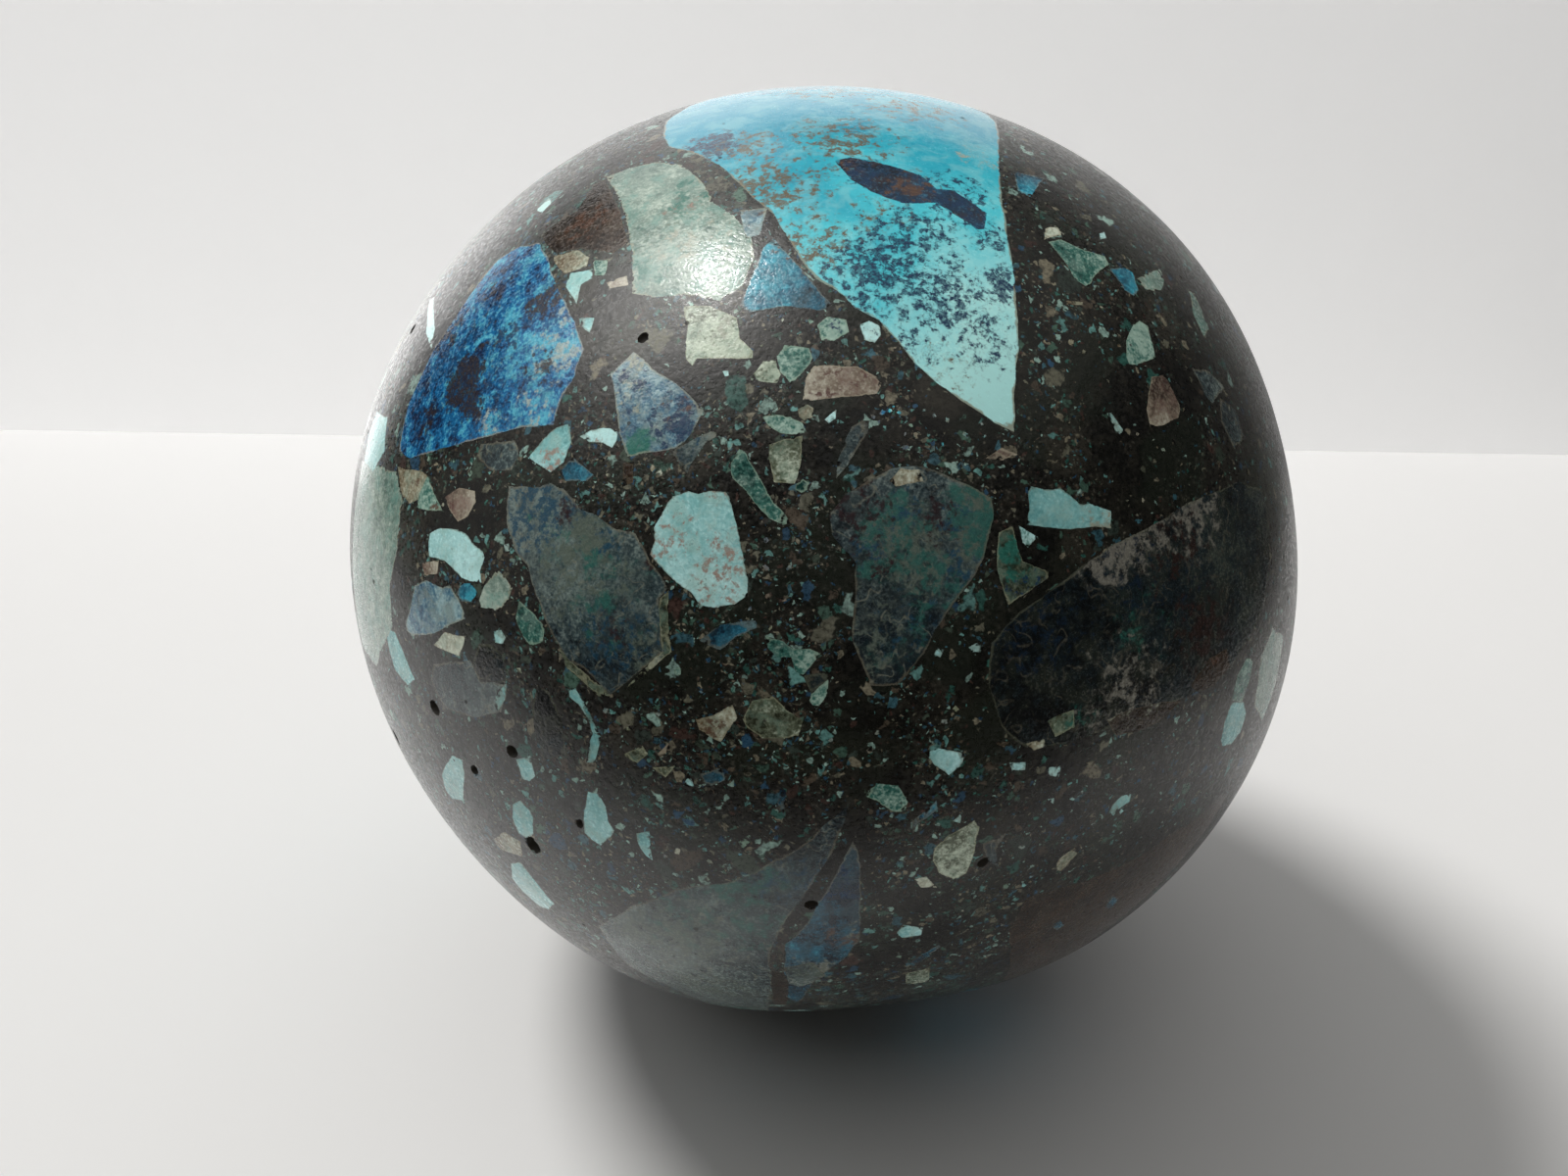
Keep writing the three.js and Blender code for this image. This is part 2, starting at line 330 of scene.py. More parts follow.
    ("aqua", 0.8, [(1030, 778), (1047, 778), (1047, 785), (1034, 787)]),
    ("aqua", 0.8, [(1069, 783), (1083, 783), (1080, 794), (1071, 792)]),
    ("aqua", 0.8, [(1092, 816), (1105, 806), (1107, 808), (1096, 817)]),
    ("aqua", 0.7, [(1069, 816), (1076, 815), (1075, 821)]),
    ("aqua", 0.5, [(1132, 830), (1136, 821), (1145, 812), (1155, 810), (1152, 819), (1141, 827),
                   (1136, 833)]),
    ("cream", 0.4, [(1076, 888), (1080, 877), (1103, 862), (1105, 865), (1092, 881), (1083, 889)]),
    ("aqua", 0.35, [(1246, 756), (1250, 738), (1257, 718), (1270, 716), (1272, 729), (1266, 747), (1257, 760),
                    (1248, 762)]),
    ("malachite", 0.4, [(1257, 716), (1263, 689), (1272, 671), (1279, 673), (1275, 696), (1268, 716)]),
    ("fibrous", 0.4, [(1280, 720), (1287, 670), (1299, 640), (1311, 650), (1308, 700), (1292, 738)]),
    ("brown", 0.3, [(1047, 917), (1114, 897), (1159, 877), (1192, 854), (1225, 832), (1248, 809), (1256, 815),
                    (1232, 858), (1190, 906), (1130, 956), (1060, 995), (1020, 1005), (1030, 950)]),
    ("steel", 0.4, [(1127, 925), (1134, 915), (1141, 918), (1134, 928)]),
    ("steel", 0.2, [(1074, 946), (1082, 939), (1087, 944), (1079, 950)]),
    ("cream", 0.95, [(1067, 244), (1068, 233), (1078, 230), (1087, 239)]),
    ("malachite", 0.5, [(1071, 247), (1083, 244), (1106, 254), (1127, 261), (1132, 270), (1118, 280),
                        (1111, 294), (1097, 285), (1090, 270), (1078, 256)]),
    ("aqua", 1.0, [(1121, 238), (1127, 236), (1129, 242), (1123, 244)]),
    ("steel", 0.75, [(1133, 275), (1146, 272), (1156, 278), (1162, 296), (1158, 302), (1149, 296),
                         (1141, 285)]),
    ("fibrous", 0.55, [(1160, 285), (1170, 278), (1184, 274), (1188, 285), (1186, 296), (1179, 299),
                      (1168, 293)]),
    ("malachite", 0.95, [(1149, 348), (1156, 332), (1163, 327), (1172, 332), (1179, 365), (1165, 370),
                         (1153, 373), (1150, 365)]),
    ("aqua", 0.7, [(1130, 421), (1133, 419), (1147, 439), (1144, 444), (1139, 440)]),
    ("rose", 0.5, [(1175, 384), (1189, 383), (1205, 414), (1203, 426), (1189, 433), (1175, 436),
                   (1170, 417)]),
    ("fibrous", 0.3, [(1212, 294), (1219, 299), (1234, 336), (1229, 344), (1219, 322)]),
    ("ash", 0.7, [(1217, 377), (1231, 377), (1250, 395), (1238, 410), (1231, 403)]),
    ("ash", 0.3, [(1245, 405), (1262, 420), (1270, 450), (1258, 455), (1246, 430)]),
    ("steel", 0.4, [(1035, 176), (1066, 181), (1052, 200), (1040, 196)]),
    ("cream", 0.3, [(1088, 306), (1106, 308), (1105, 311), (1089, 310)]),
    ("fibrous", 0.45, [(356, 520), (366, 470), (384, 474), (404, 482), (410, 510), (405, 560), (398, 600),
                       (400, 640), (384, 680), (366, 660), (352, 600)]),
    ("aqua", 0.7, [(372, 440), (383, 420), (395, 425), (392, 460), (380, 482), (371, 470)]),
    ("aqua", 0.9, [(436, 305), (443, 303), (443, 335), (440, 358), (435, 340)]),
]
print(len(frontChips), "chips read from the front")


# Soft stains that cross the chips: pixel of the middle, reach in pixels and strength from 0 to 1.
# A strong stain covers its place, and a weak one breaks up into lace or specks.
stains = {
    "rust": [
        ((790, 190), 62, 0.58), ((770, 150), 44, 0.55), ((860, 140), 66, 0.52), ((930, 110), 60, 0.46),
        ((850, 90), 80, 0.42), ((830, 245), 44, 0.52), ((895, 215), 36, 0.36), ((930, 190), 30, 0.5),
        ((960, 380), 40, 0.25), ((474, 388), 34, 0.95), ((482, 415), 20, 0.85), ((554, 306), 24, 0.8),
        ((455, 345), 36, 0.55), ((500, 300), 36, 0.4), ((500, 345), 30, 0.35), ((550, 375), 26, 0.5),
        ((436, 430), 26, 0.5), ((740, 575), 32, 0.5), ((690, 545), 22, 0.45), ((670, 565), 18, 0.55),
        ((735, 505), 14, 0.35), ((735, 610), 24, 0.4), ((690, 415), 20, 0.5), ((875, 520), 38, 0.5),
        ((902, 572), 22, 0.45), ((958, 528), 26, 0.55), ((577, 520), 16, 0.6), ((612, 452), 10, 0.5),
        ((566, 470), 18, 0.6), ((1180, 500), 50, 0.4), ((450, 520), 20, 0.5), ((425, 495), 14, 0.4),
        ((600, 225), 34, 0.6), ((630, 640), 30, 0.4), ((700, 215), 34, 0.3), ((1230, 640), 50, 0.6),
        ((1200, 560), 60, 0.4), ((855, 392), 40, 0.3), ((860, 960), 30, 0.4), ((730, 745), 16, 0.5),
    ],
    "blue": [
        ((728, 148), 36, 0.85), ((935, 235), 56, 0.55), ((895, 275), 60, 0.66), ((960, 300), 56, 0.6),
        ((1022, 290), 26, 0.75), ((1012, 240), 26, 0.6), ((980, 200), 44, 0.5), ((1000, 345), 44, 0.5),
        ((865, 315), 28, 0.55), ((930, 345), 40, 0.42), ((880, 175), 26, 0.5), ((690, 430), 34, 0.65),
        ((645, 385), 24, 0.5), ((620, 660), 40, 0.45), ((548, 520), 42, 0.66), ((528, 540), 28, 0.6),
        ((580, 515), 22, 0.6), ((620, 555), 16, 0.5), ((645, 650), 36, 0.4), ((470, 360), 60, 0.4),
        ((500, 400), 50, 0.35), ((520, 340), 26, 0.6), ((975, 530), 24, 0.45), ((925, 520), 22, 0.4),
        ((885, 560), 22, 0.45), ((980, 580), 24, 0.4), ((940, 640), 50, 0.25), ((1060, 640), 60, 0.45),
        ((1150, 580), 60, 0.35), ((1190, 600), 70, 0.3), ((800, 900), 40, 0.4), ((850, 900), 36, 0.6),
    ],
    "pale": [
        ((578, 328), 22, 0.45), ((560, 345), 26, 0.45), ((548, 412), 34, 0.4), ((500, 440), 36, 0.4),
        ((574, 362), 22, 0.66), ((552, 370), 16, 0.55), ((640, 400), 26, 0.45), ((655, 365), 20, 0.55),
        ((600, 550), 36, 0.72), ((565, 565), 30, 0.66), ((620, 590), 30, 0.45), ((575, 605), 30, 0.45),
        ((600, 610), 50, 0.3), ((660, 670), 30, 0.5), ((935, 565), 50, 0.5), ((905, 545), 22, 0.55),
        ((985, 560), 36, 0.5), ((1000, 505), 20, 0.6), ((880, 640), 50, 0.45), ((1130, 560), 40, 0.7),
        ((1160, 530), 50, 0.75), ((1215, 520), 50, 0.6), ((1150, 700), 60, 0.4), ((690, 960), 70, 0.6),
        ((720, 1005), 60, 0.6), ((650, 950), 40, 0.6), ((830, 990), 30, 0.6), ((700, 250), 46, 0.4),
        ((740, 340), 26, 0.4), ((860, 950), 26, 0.35), ((760, 860), 50, 0.4), ((1000, 160), 30, 0.4),
    ],
    "green": [
        ((992, 525), 34, 1.0), ((1000, 550), 24, 0.7), ((915, 540), 36, 0.8), ((925, 570), 34, 0.7),
        ((895, 580), 20, 0.7), ((960, 590), 40, 0.6), ((600, 570), 40, 0.5), ((560, 545), 30, 0.45),
        ((700, 200), 40, 0.5), ((670, 260), 40, 0.4), ((1040, 570), 30, 0.5), ((740, 900), 70, 0.55),
        ((690, 940), 60, 0.4), ((652, 450), 18, 0.9), ((1110, 735), 30, 0.4), ((920, 660), 34, 0.4),
        ((780, 950), 50, 0.5), ((1170, 640), 40, 0.4), ((625, 620), 50, 0.4),
    ],
}

# Small crumbs packed together: pixel of the middle, reach in pixels, how many, and their minerals
crumbFields = [
    ((790, 345), (60, 40), 26, ("malachite", "aqua", "olive", "cream")),
    ((945, 435), (62, 24), 26, ("turquoise", "slate", "azurite", "malachite")),
    ((520, 650), (42, 46), 18, ("malachite", "aqua", "olive")),
    ((470, 490), (40, 26), 14, ("azurite", "cream", "rose", "malachite")),
    ((1000, 945), (90, 42), 26, ("aqua", "malachite", "cream", "slate")),
    ((560, 300), (50, 30), 8, ("cream", "aqua")),
    ((770, 590), (40, 40), 12, ("slate", "azurite", "rose")),
    ((1190, 480), (46, 60), 20, ("rose", "cream", "navy", "fibrous")),
    ((620, 490), (60, 20), 10, ("cream", "olive", "rose")),
    ((700, 690), (110, 60), 24, ("slate", "malachite", "olive", "azurite")),
    ((900, 745), (80, 40), 18, ("azurite", "slate", "olive", "navy")),
    ((1120, 870), (90, 50), 16, ("aqua", "slate", "olive")),
    ((700, 860), (100, 40), 14, ("rose", "azurite", "aqua")),
    ((1110, 330), (40, 50), 14, ("aqua", "cream", "malachite")),
    ((450, 880), (50, 60), 10, ("aqua", "fibrous")),
]

# Chips of the sides, back and underside: how many of each size, and how often each mineral comes
hiddenChips = {
    "seed": 41,
    "sizes": [                # reach and the gap to other chips in mm, and bends in each edge
        {"count": 9, "reach": (8.5, 13.0), "gap": 1.2, "from": "large", "bends": 3},
        {"count": 16, "reach": (4.5, 7.5), "gap": 0.8, "from": "large", "bends": 2},
        {"count": 40, "reach": (2.2, 4.0), "gap": 0.5, "from": "large", "bends": 1},
        {"count": 140, "reach": (0.9, 1.9), "gap": 0.25, "from": "small", "bends": 0},
        {"count": 260, "reach": (0.35, 0.8), "gap": 0.15, "from": "small", "bends": 0},
    ],
    "tries": 30,              # places that are drawn for each chip that is wanted
    "corners": (4, 6),
    "large": ["navy", "ash", "azurite", "ash", "turquoise", "slate", "fibrous", "navy", "ash", "steel",
              "rose", "brown"],
    "small": ["aqua", "aqua", "aqua", "malachite", "malachite", "olive", "cream", "slate", "steel",
              "ash", "rose", "fibrous", "brown", "ash"],
    "beyond": 68,             # degrees from the camera's side of the ball at which they start
    "stainsOfEach": 60,
    "stainReach": (2.0, 5.5),
    "stainStrength": (0.35, 0.65),
}

# How broken chips and crumbs are shaped; a pair is the lowest and highest value of a draw
brokenForm = {
    "cornerReach": (0.74, 1.0),
    "cornerTurn": (-0.32, 0.32),  # as a share of the way to the next corner
    "slimness": (0.5, 1.0),
    "bend": (-0.06, 0.03),    # how far a bend lies inside its edge, as a share of the edge
    "bendPlace": (0.7, 1.3),
    "patternShift": (-60, 60),    # mm, so that no two chips show the same pattern
    "crumbCorners": (4, 5),
    "crumbReach": (0.1, 0.28),    # mm
    "crumbGap": 0.05,         # mm to the chips beside it
}

# Open pits, the same as the solid's: width in mm, and depth as a share of it
pits = {
    "front": [
        {"heading": -117, "height": 49, "width": 0.6},
        {"heading": -135, "height": 5, "width": 0.95},
        {"heading": -123, "height": 5, "width": 0.85},
        {"heading": -129, "height": 0, "width": 0.7},
        {"heading": -122, "height": -7, "width": 1.2},
        {"heading": -115, "height": -1, "width": 0.6},
        {"heading": -91, "height": -7, "width": 0.85},
        {"heading": -74, "height": -3, "width": 0.7},
    ],
    "scattered": 22,
    "scatteredWidths": (0.6, 1.2),
    "lowestHeight": -55,
    "frontMiddle": (-90, 30),
    "clearOfFront": 62,       # degrees round the middle of the front
    "depthShare": 0.45,
    "sides": 9,
    "rings": (1.0, 0.72, 0.38),
    "outOfRound": 0.1,        # share of its reach by which a pit's outline wanders
    "turnPerMm": 9,           # that wander is turned round by this much for each mm of width
    "widthStep": 7,           # the scattered pits take their widths in steps of this many
}

# How the outlines are cut into the mesh, in ball radii where not said otherwise
cutting = {
    "snap": 0.0008,           # a vertex this near a cut counts as on it
    "margin": 0.016,          # how far round an edge its faces are gathered
    "poleReach": 0.01,        # a place this near the ball's axis takes +X as its east
    "nearSide": 0.1,          # cosine under which a direction is too far round to be in a chip
    "rimReach": 1.5,          # mm from a chip's edge over which the distance is kept
    "unevenness": 0.11,       # mm that the finished edges wander
    "unevenLength": 1.3,      # mm from one wander to the next
    "unevenSeed": 5,          # without a seed the wander follows the clock
}

slots = ["rock", "pitDirt", "turquoise", "ink", "azurite", "slate", "steel", "ash", "fibrous", "malachite",
         "aqua", "navy", "rose", "olive", "cream", "brown"]
toCamera = (camera.location / mm - ballCentre).normalized()
dice = random.Random(hiddenChips["seed"])

stone = bmesh.new()
rimLayer = stone.loops.layers.float.new("rim")
alongLayer = stone.loops.layers.float.new("along")
toneLayer = stone.loops.layers.float.new("tone")
shiftLayer = stone.loops.layers.float_vector.new("shift")
bmesh.ops.create_icosphere(stone, subdivisions=ball["fineness"], radius=1.0)
startVerts = list(stone.verts)
startPlaces = kdtree.KDTree(len(startVerts))
for number, vert in enumerate(startVerts):
    startPlaces.insert(vert.co, number)
startPlaces.balance()


def axesAt(direction):
    east = Vector((0, 0, 1)).cross(direction)
    east = east.normalized() if east.length > cutting["poleReach"] else Vector((1, 0, 0))
    return east, direction.cross(east)


# A chip's outline is a ring of directions, and its edges are parts of great circles
def newChip(mineral, tone, corners, fade=None):
    middle = sum(corners, Vector()).normalized()
    east, north = axesAt(middle)
    reach = max((corner - middle).length for corner in corners)
    if fade is None:
        far = max(corners, key=lambda corner: (corner - corners[0]).length)
        fade = (corners[0], far)
    edges = []
    for start, end in zip(corners, corners[1:] + corners[:1]):
        edges.append((start, end, start.cross(end).normalized()))
    chip = {"mineral": mineral, "tone": tone, "middle": middle, "east": east, "north": north}
    chip.update({"reach": reach, "fade": fade, "edges": edges})
    chip["flat"] = [onPlane(chip, corner) for corner in corners]
    chip["shift"] = Vector([dice.uniform(*brokenForm["patternShift"]) for _ in range(3)])
    return chip


def onPlane(chip, direction):
    depth = direction.dot(chip["middle"])
    return direction.dot(chip["east"]) / depth, direction.dot(chip["north"]) / depth


def isInside(chip, direction):
    if direction.dot(chip["middle"]) < cutting["nearSide"]:
        return False
    x, y = onPlane(chip, direction)
    inside = False
    x1, y1 = chip["flat"][-1]
    for x2, y2 in chip["flat"]:
        if (y1 > y) != (y2 > y) and x < (x2 - x1) * (y - y1) / (y2 - y1) + x1:
            inside = not inside
        x1, y1 = x2, y2
    return inside


def rimDistance(chip, direction):
    nearest = 1.0
    for start, end, across in chip["edges"]:
        off = direction.dot(across)
        if abs(off) < nearest:
            foot = direction - across * off
            if start.cross(foot).dot(across) >= 0 and foot.cross(end).dot(across) >= 0:
                nearest = abs(off)
            else:
                nearest = min(nearest, (direction - start).length)
    return nearest * ballRadius


def facesAround(middle, reach):
    wide = reach + cutting["margin"]
    places = {}
    for _, number, _ in startPlaces.find_range(middle, wide):
        for face in startVerts[number].link_faces:
            places[face] = face.calc_center_median()
    waiting = list(places)
    while waiting:
        for edge in waiting.pop().edges:
            for face in edge.link_faces:
                if face not in places:
                    place = face.calc_center_median()
                    if (place - middle).length < wide:
                        places[face] = place
                        waiting.append(face)
    return places


# Cuts the faces near an edge of an outline along the edge's plane. The bisect operator walks over the
# whole mesh each time, so with thousands of cuts the edges and faces are split one by one instead.
def cutAlong(places, start, end, across):
    middle = (start + end) / 2
    reach = (start - end).length / 2 + cutting["margin"]
    near = [face for face, place in places.items()
            if abs(place.dot(across)) < cutting["margin"] and (place - middle).length < reach]
    onCut = set()
    for edge in dict.fromkeys(edge for face in near for edge in face.edges):
        first, second = edge.verts
        firstOff, secondOff = first.co.dot(across), second.co.dot(across)
        for vert, off in ((first, firstOff), (second, secondOff)):
            if abs(off) < cutting["snap"]:
                onCut.add(vert)
        if firstOff * secondOff < 0 and min(abs(firstOff), abs(secondOff)) >= cutting["snap"]:
            _, vert = bmesh.utils.edge_split(edge, first, firstOff / (firstOff - secondOff))
            onCut.add(vert)
    for face in near:
        hits = [vert for vert in face.verts if vert in onCut]
        if len(hits) == 2 and not any(set(edge.verts) == set(hits) for edge in face.edges):
            half, _ = bmesh.utils.face_split(face, *hits)
            places[half] = half.calc_center_median()
            places[face] = face.calc_center_median()


def cutChip(chip):
    places = facesAround(chip["middle"], chip["reach"])
    for start, end, across in chip["edges"]:
        cutAlong(places, start, end, across)
    fadeStart, fadeEnd = chip["fade"]
    fadeAxis = fadeEnd - fadeStart
    known = {}
    for face, place in places.items():
        if isInside(chip, place):
            face.material_index = slots.index(chip["mineral"])
            for loop in face.loops:
                if loop.vert not in known:
                    direction = loop.vert.co.normalized()
                    rim = min(rimDistance(chip, direction), cutting["rimReach"])
                    along = (direction - fadeStart).dot(fadeAxis) / fadeAxis.length_squared
                    known[loop.vert] = (rim, max(0.0, min(1.0, along)))
                loop[rimLayer], loop[alongLayer] = known[loop.vert]
                loop[toneLayer] = chip["tone"]
                loop[shiftLayer] = chip["shift"]


def bentEdges(corners, bends):
    points = []
    for start, end in zip(corners, corners[1:] + corners[:1]):
        points.append(start)
        for bend in range(bends):
            share = (bend + dice.uniform(*brokenForm["bendPlace"])) / (bends + 1)
            off = start.cross(end) * dice.uniform(*brokenForm["bend"])
            points.append((start.lerp(end, share) + off).normalized())
    return points


# An angular piece of broken mineral with its corners about evenly round its middle, whose edges
# may bend a little between them
def brokenChip(mineral, tone, middle, reach, sides, bends=0):
    east, north = axesAt(middle)
    turn = dice.uniform(0, math.tau)
    slim = dice.uniform(*brokenForm["slimness"])
    corners = []
    for corner in range(sides):
        angle = (corner + dice.uniform(*brokenForm["cornerTurn"])) * math.tau / sides
        out = reach / ballRadius * dice.uniform(*brokenForm["cornerReach"])
        x, y = out * math.cos(angle), out * math.sin(angle) * slim
        right = x * math.cos(turn) - y * math.sin(turn)
        up = x * math.sin(turn) + y * math.cos(turn)
        corners.append((middle + east * right + north * up).normalized())
    return newChip(mineral, tone, bentEdges(corners, bends))


def isFree(middle, reach, gap, chips):
    for chip in chips:
        apart = (chip["middle"] - middle).length
        if apart < chip["reach"] + (reach + gap) / ballRadius:
            if isInside(chip, middle) or rimDistance(chip, middle) < reach + gap:
                return False
    return True


def frontLayout():
    chips = []
    for mineral, tone, outline, *fade in frontChips:
        corners = [onBall(x, y) for x, y in outline]
        if fade:
            chips.append(newChip(mineral, tone, corners, [onBall(x, y) for x, y in fade[0]]))
        else:
            chips.append(newChip(mineral, tone, corners))
    for (x, y), (wide, high), count, minerals in crumbFields:
        for _ in range(count):
            middle = onBall(x + dice.uniform(-wide, wide), y + dice.uniform(-high, high))
            reach = dice.uniform(*brokenForm["crumbReach"])
            mineral, tone = dice.choice(minerals), dice.random()
            sides = dice.randint(*brokenForm["crumbCorners"])
            crumb = brokenChip(mineral, tone, middle, reach, sides)
            if isFree(middle, reach, brokenForm["crumbGap"], chips):
                chips.append(crumb)
    return chips


def hiddenLayout(chips):
    for size in hiddenChips["sizes"]:
        placed = 0
        for _ in range(size["count"] * hiddenChips["tries"]):
            middle = Vector([dice.gauss(0, 1) for _ in range(3)]).normalized()
            reach = dice.uniform(*size["reach"])
            beyond = math.radians(hiddenChips["beyond"]) + reach / ballRadius
            if middle.angle(toCamera) < beyond or not isFree(middle, reach, size["gap"], chips):
                continue
            kinds = hiddenChips[size["from"]]
            mineral = kinds[placed % len(kinds)]
            sides = dice.randint(*hiddenChips["corners"])
            chips.append(brokenChip(mineral, dice.random(), middle, reach, sides, size["bends"]))
            placed += 1
            if placed == size["count"]:
                break


chips = frontLayout()
frontCount = len(chips)
hiddenLayout(chips)
for chip in chips:
    cutChip(chip)
print(frontCount, "chips cut in front and", len(chips) - frontCount, "on the other sides")


def scatteredPits():
    goldenAngle = 180 * (3 - math.sqrt(5))
    front = directionOf(*pits["frontMiddle"])
    low, high = pits["scatteredWidths"]
    count = pits["scattered"]
    for i in range(count):
        height = math.degrees(math.asin(1 - (2 * i + 1) / count))
        direction = directionOf(i * goldenAngle, height)
        fromFront = math.degrees(direction.angle(front))
        if height > pits["lowestHeight"] and fromFront > pits["clearOfFront"]:
            yield direction, low + (high - low) * (i * pits["widthStep"] % count) / count


# Rings are cut round each pit, and what lies inside them is sunk to a bowl
def cutPit(direction, width):
    east, north = axesAt(direction)
    places = facesAround(direction, width / 2 / ballRadius)
    for share in pits["rings"]:
        ring = []
        for side in range(pits["sides"]):
            angle = side * math.tau / pits["sides"]
            wander = pits["outOfRound"] * math.sin(angle * 2 + width * pits["turnPerMm"])
            out = share * width / 2 / ballRadius * (1 + wander)
            ring.append((direction + (east * math.cos(angle) + north * math.sin(angle)) * out).normalized())
        for start, end in zip(ring, ring[1:] + ring[:1]):
            cutAlong(places, start, end, start.cross(end).normalized())
        if share == pits["rings"][0]:
            outline = newChip("pitDirt", 0.5, ring)
    rims = []
    for face, place in places.items():
        if isInside(outline, place):
            face.material_index = slots.index("pitDirt")
            rims.extend(face.edges)
            for vert in face.verts:
                away = min(1.0, rimDistance(outline, vert.co.normalized()) / (width / 2))
                sunk[vert] = width * pits["depthShare"] * math.sqrt(1 - (1 - away) ** 2)
    for edge in rims:
        if len({face.material_index for face in edge.link_faces}) > 1:
            edge.smooth = False


sunk = {}
frontPits = [(directionOf(pit["heading"], pit["height"]), pit["width"]) for pit in pits["front"]]
for direction, width in [*frontPits, *scatteredPits()]:
    cutPit(direction, width)
print(len(sunk), "vertices sunk in the open pits")


def surfaceNormal(direction):
    slope = Vector()
    for middle, rise, spread in groundPlaces:
        angle = direction.angle(middle)
        if 0.001 < angle < ball["spreadsFelt"] * spread:
            away = angle / spread
            towards = (middle - direction * math.cos(angle)).normalized()
            slope += towards * (rise * math.exp(-away * away) * 2 * away / spread)
    return (direction - slope / ballRadius).normalized()


# The mesh goes from directions to the stone's real form, in mm from the middle of its flat
def takeForm():
    noise.seed_set(cutting["unevenSeed"])
    for vert in stone.verts:
        direction = vert.co.normalized()
        wander = noise.noise_vector(direction * ballRadius / cutting["unevenLength"])
        direction = (direction + wander * (cutting["unevenness"] / ballRadius)).normalized()
        out = surfaceRadius(direction) - ball["polishedAway"] - sunk.get(vert, 0.0)
        vert.co = ballCentre + direction * out


def grindFlat():
    low = [face for face in stone.faces if face.calc_center_median().z < ball["grindUpTo"]]
    parts = {}
    for face in low:
        parts.update(dict.fromkeys([face, *face.edges, *face.verts]))
    cut = bmesh.ops.bisect_plane(stone, geom=list(parts), dist=ball["grindSnap"], plane_co=(0, 0, 0),
                                 plane_no=(0, 0, 1))
    for part in cut["geom_cut"]:
        if isinstance(part, bmesh.types.BMEdge):
            part.smooth = False
    for vert in stone.verts:
        if vert.co.z < ball["flatWithin"]:
            vert.co.z = 0.0


takeForm()
grindFlat()
bmesh.ops.triangulate(stone, faces=stone.faces)
for face in stone.faces:
    face.smooth = True
bmesh.ops.scale(stone, verts=stone.verts, vec=(mm, mm, mm))
ballMesh = bpy.data.meshes.new("polishedStone")
stone.to_mesh(ballMesh)
print(len(ballMesh.polygons), "triangles in the ball")


# Normals come from the form itself, so that thin triangles beside a cut don't ripple the polish
def polishNormals(mesh):
    pitSlot = slots.index("pitDirt")
    flatTop = ball["flatWithin"] * mm
    form = []
    for vert in mesh.vertices:
        form.append(surfaceNormal((vert.co / mm - ballCentre).normalized()))
    facets = [vert.normal.copy() for vert in mesh.vertices]
    normals = [None] * len(mesh.loops)
    for polygon in mesh.polygons:
        onFlat = all(mesh.vertices[number].co.z < flatTop for number in polygon.vertices)
        for loop, number in zip(polygon.loop_indices, polygon.vertices):
            if onFlat:
                normals[loop] = Vector((0, 0, -1))
            elif polygon.material_index == pitSlot:
                normals[loop] = facets[number]
            else:
                normals[loop] = form[number]
    mesh.normals_split_custom_set(normals)


def allStains():
    for kind, spots in stains.items():
        for (x, y), reach, strength in spots:
            yield kind, onBall(x, y), reach * mmPerPixel, strength
        for _ in range(hiddenChips["stainsOfEach"]):
            middle = Vector([dice.gauss(0, 1) for _ in range(3)]).normalized()
            reach = dice.uniform(*hiddenChips["stainReach"])
            strength = dice.uniform(*hiddenChips["stainStrength"])
            if middle.angle(toCamera) > math.radians(hiddenChips["beyond"]):
                yield kind, middle, reach, strength


mmPerPixel = photo["distanceInRadii"] * ballRadius / photo["focalPixels"]


# One number for each kind of stain at every vertex: rust, blue and pale share a vector
def layStains(mesh):
    places = kdtree.KDTree(len(mesh.vertices))
    for vert in mesh.vertices:
        places.insert((vert.co / mm - ballCentre).normalized(), vert.index)
    places.balance()
    amounts = {kind: [0.0] * len(mesh.vertices) for kind in stains}
    for kind, middle, reach, strength in allStains():
        wide = reach / ballRadius
        for _, number, apart in places.find_range(middle, wide):
            amount = strength * (1 - (apart / wide) ** 2)
            amounts[kind][number] = max(amounts[kind][number], amount)
    three = zip(amounts["rust"], amounts["blue"], amounts["pale"])
    stain = mesh.attributes.new("stain", "FLOAT_VECTOR", "POINT")
    stain.data.foreach_set("vector", [value for row in three for value in row])
    green = mesh.attributes.new("greenStain", "FLOAT", "POINT")
    green.data.foreach_set("value", amounts["green"])


layStains(ballMesh)
polishNormals(ballMesh)
stoneBall = bpy.data.objects.new("polishedStoneBall", ballMesh)
bpy.context.collection.objects.link(stoneBall)
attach(stoneBall, "root")
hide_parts("chrysocolla_ball")
print("stone ball made")


# Shader helpers: inputs may be numbers, colours or the sockets of other nodes
def addNode(tree, kind, inputs=None, **settings):
    node = tree.nodes.new(kind)
    for name, value in settings.items():
        setattr(node, name, value)
    for name, value in (inputs or {}).items():
        setSocket(tree, node.inputs[name], value)
    return node


def setSocket(tree, socket, value):
    if isinstance(value, bpy.types.NodeSocket):
        tree.links.new(value, socket)
    else:
        socket.default_value = value


def maths(tree, operation, first, second=0.0, third=0.0, clamp=False):
    inputs = {0: first, 1: second, 2: third}
    return addNode(tree, "ShaderNodeMath", inputs, operation=operation, use_clamp=clamp).outputs[0]


def times(tree, first, second, clamp=False):
    return maths(tree, "MULTIPLY", first, second, clamp=clamp)


def oneMinus(tree, value):
    return maths(tree, "SUBTRACT", 1.0, value)


def vectorMaths(tree, operation, first, second):
    return addNode(tree, "ShaderNodeVectorMath", {0: first, 1: second}, operation=operation).outputs[0]


def scaleVector(tree, vector, factor):
    return addNode(tree, "ShaderNodeVectorMath", {0: vector, "Scale": factor}, operation="SCALE").outputs[0]


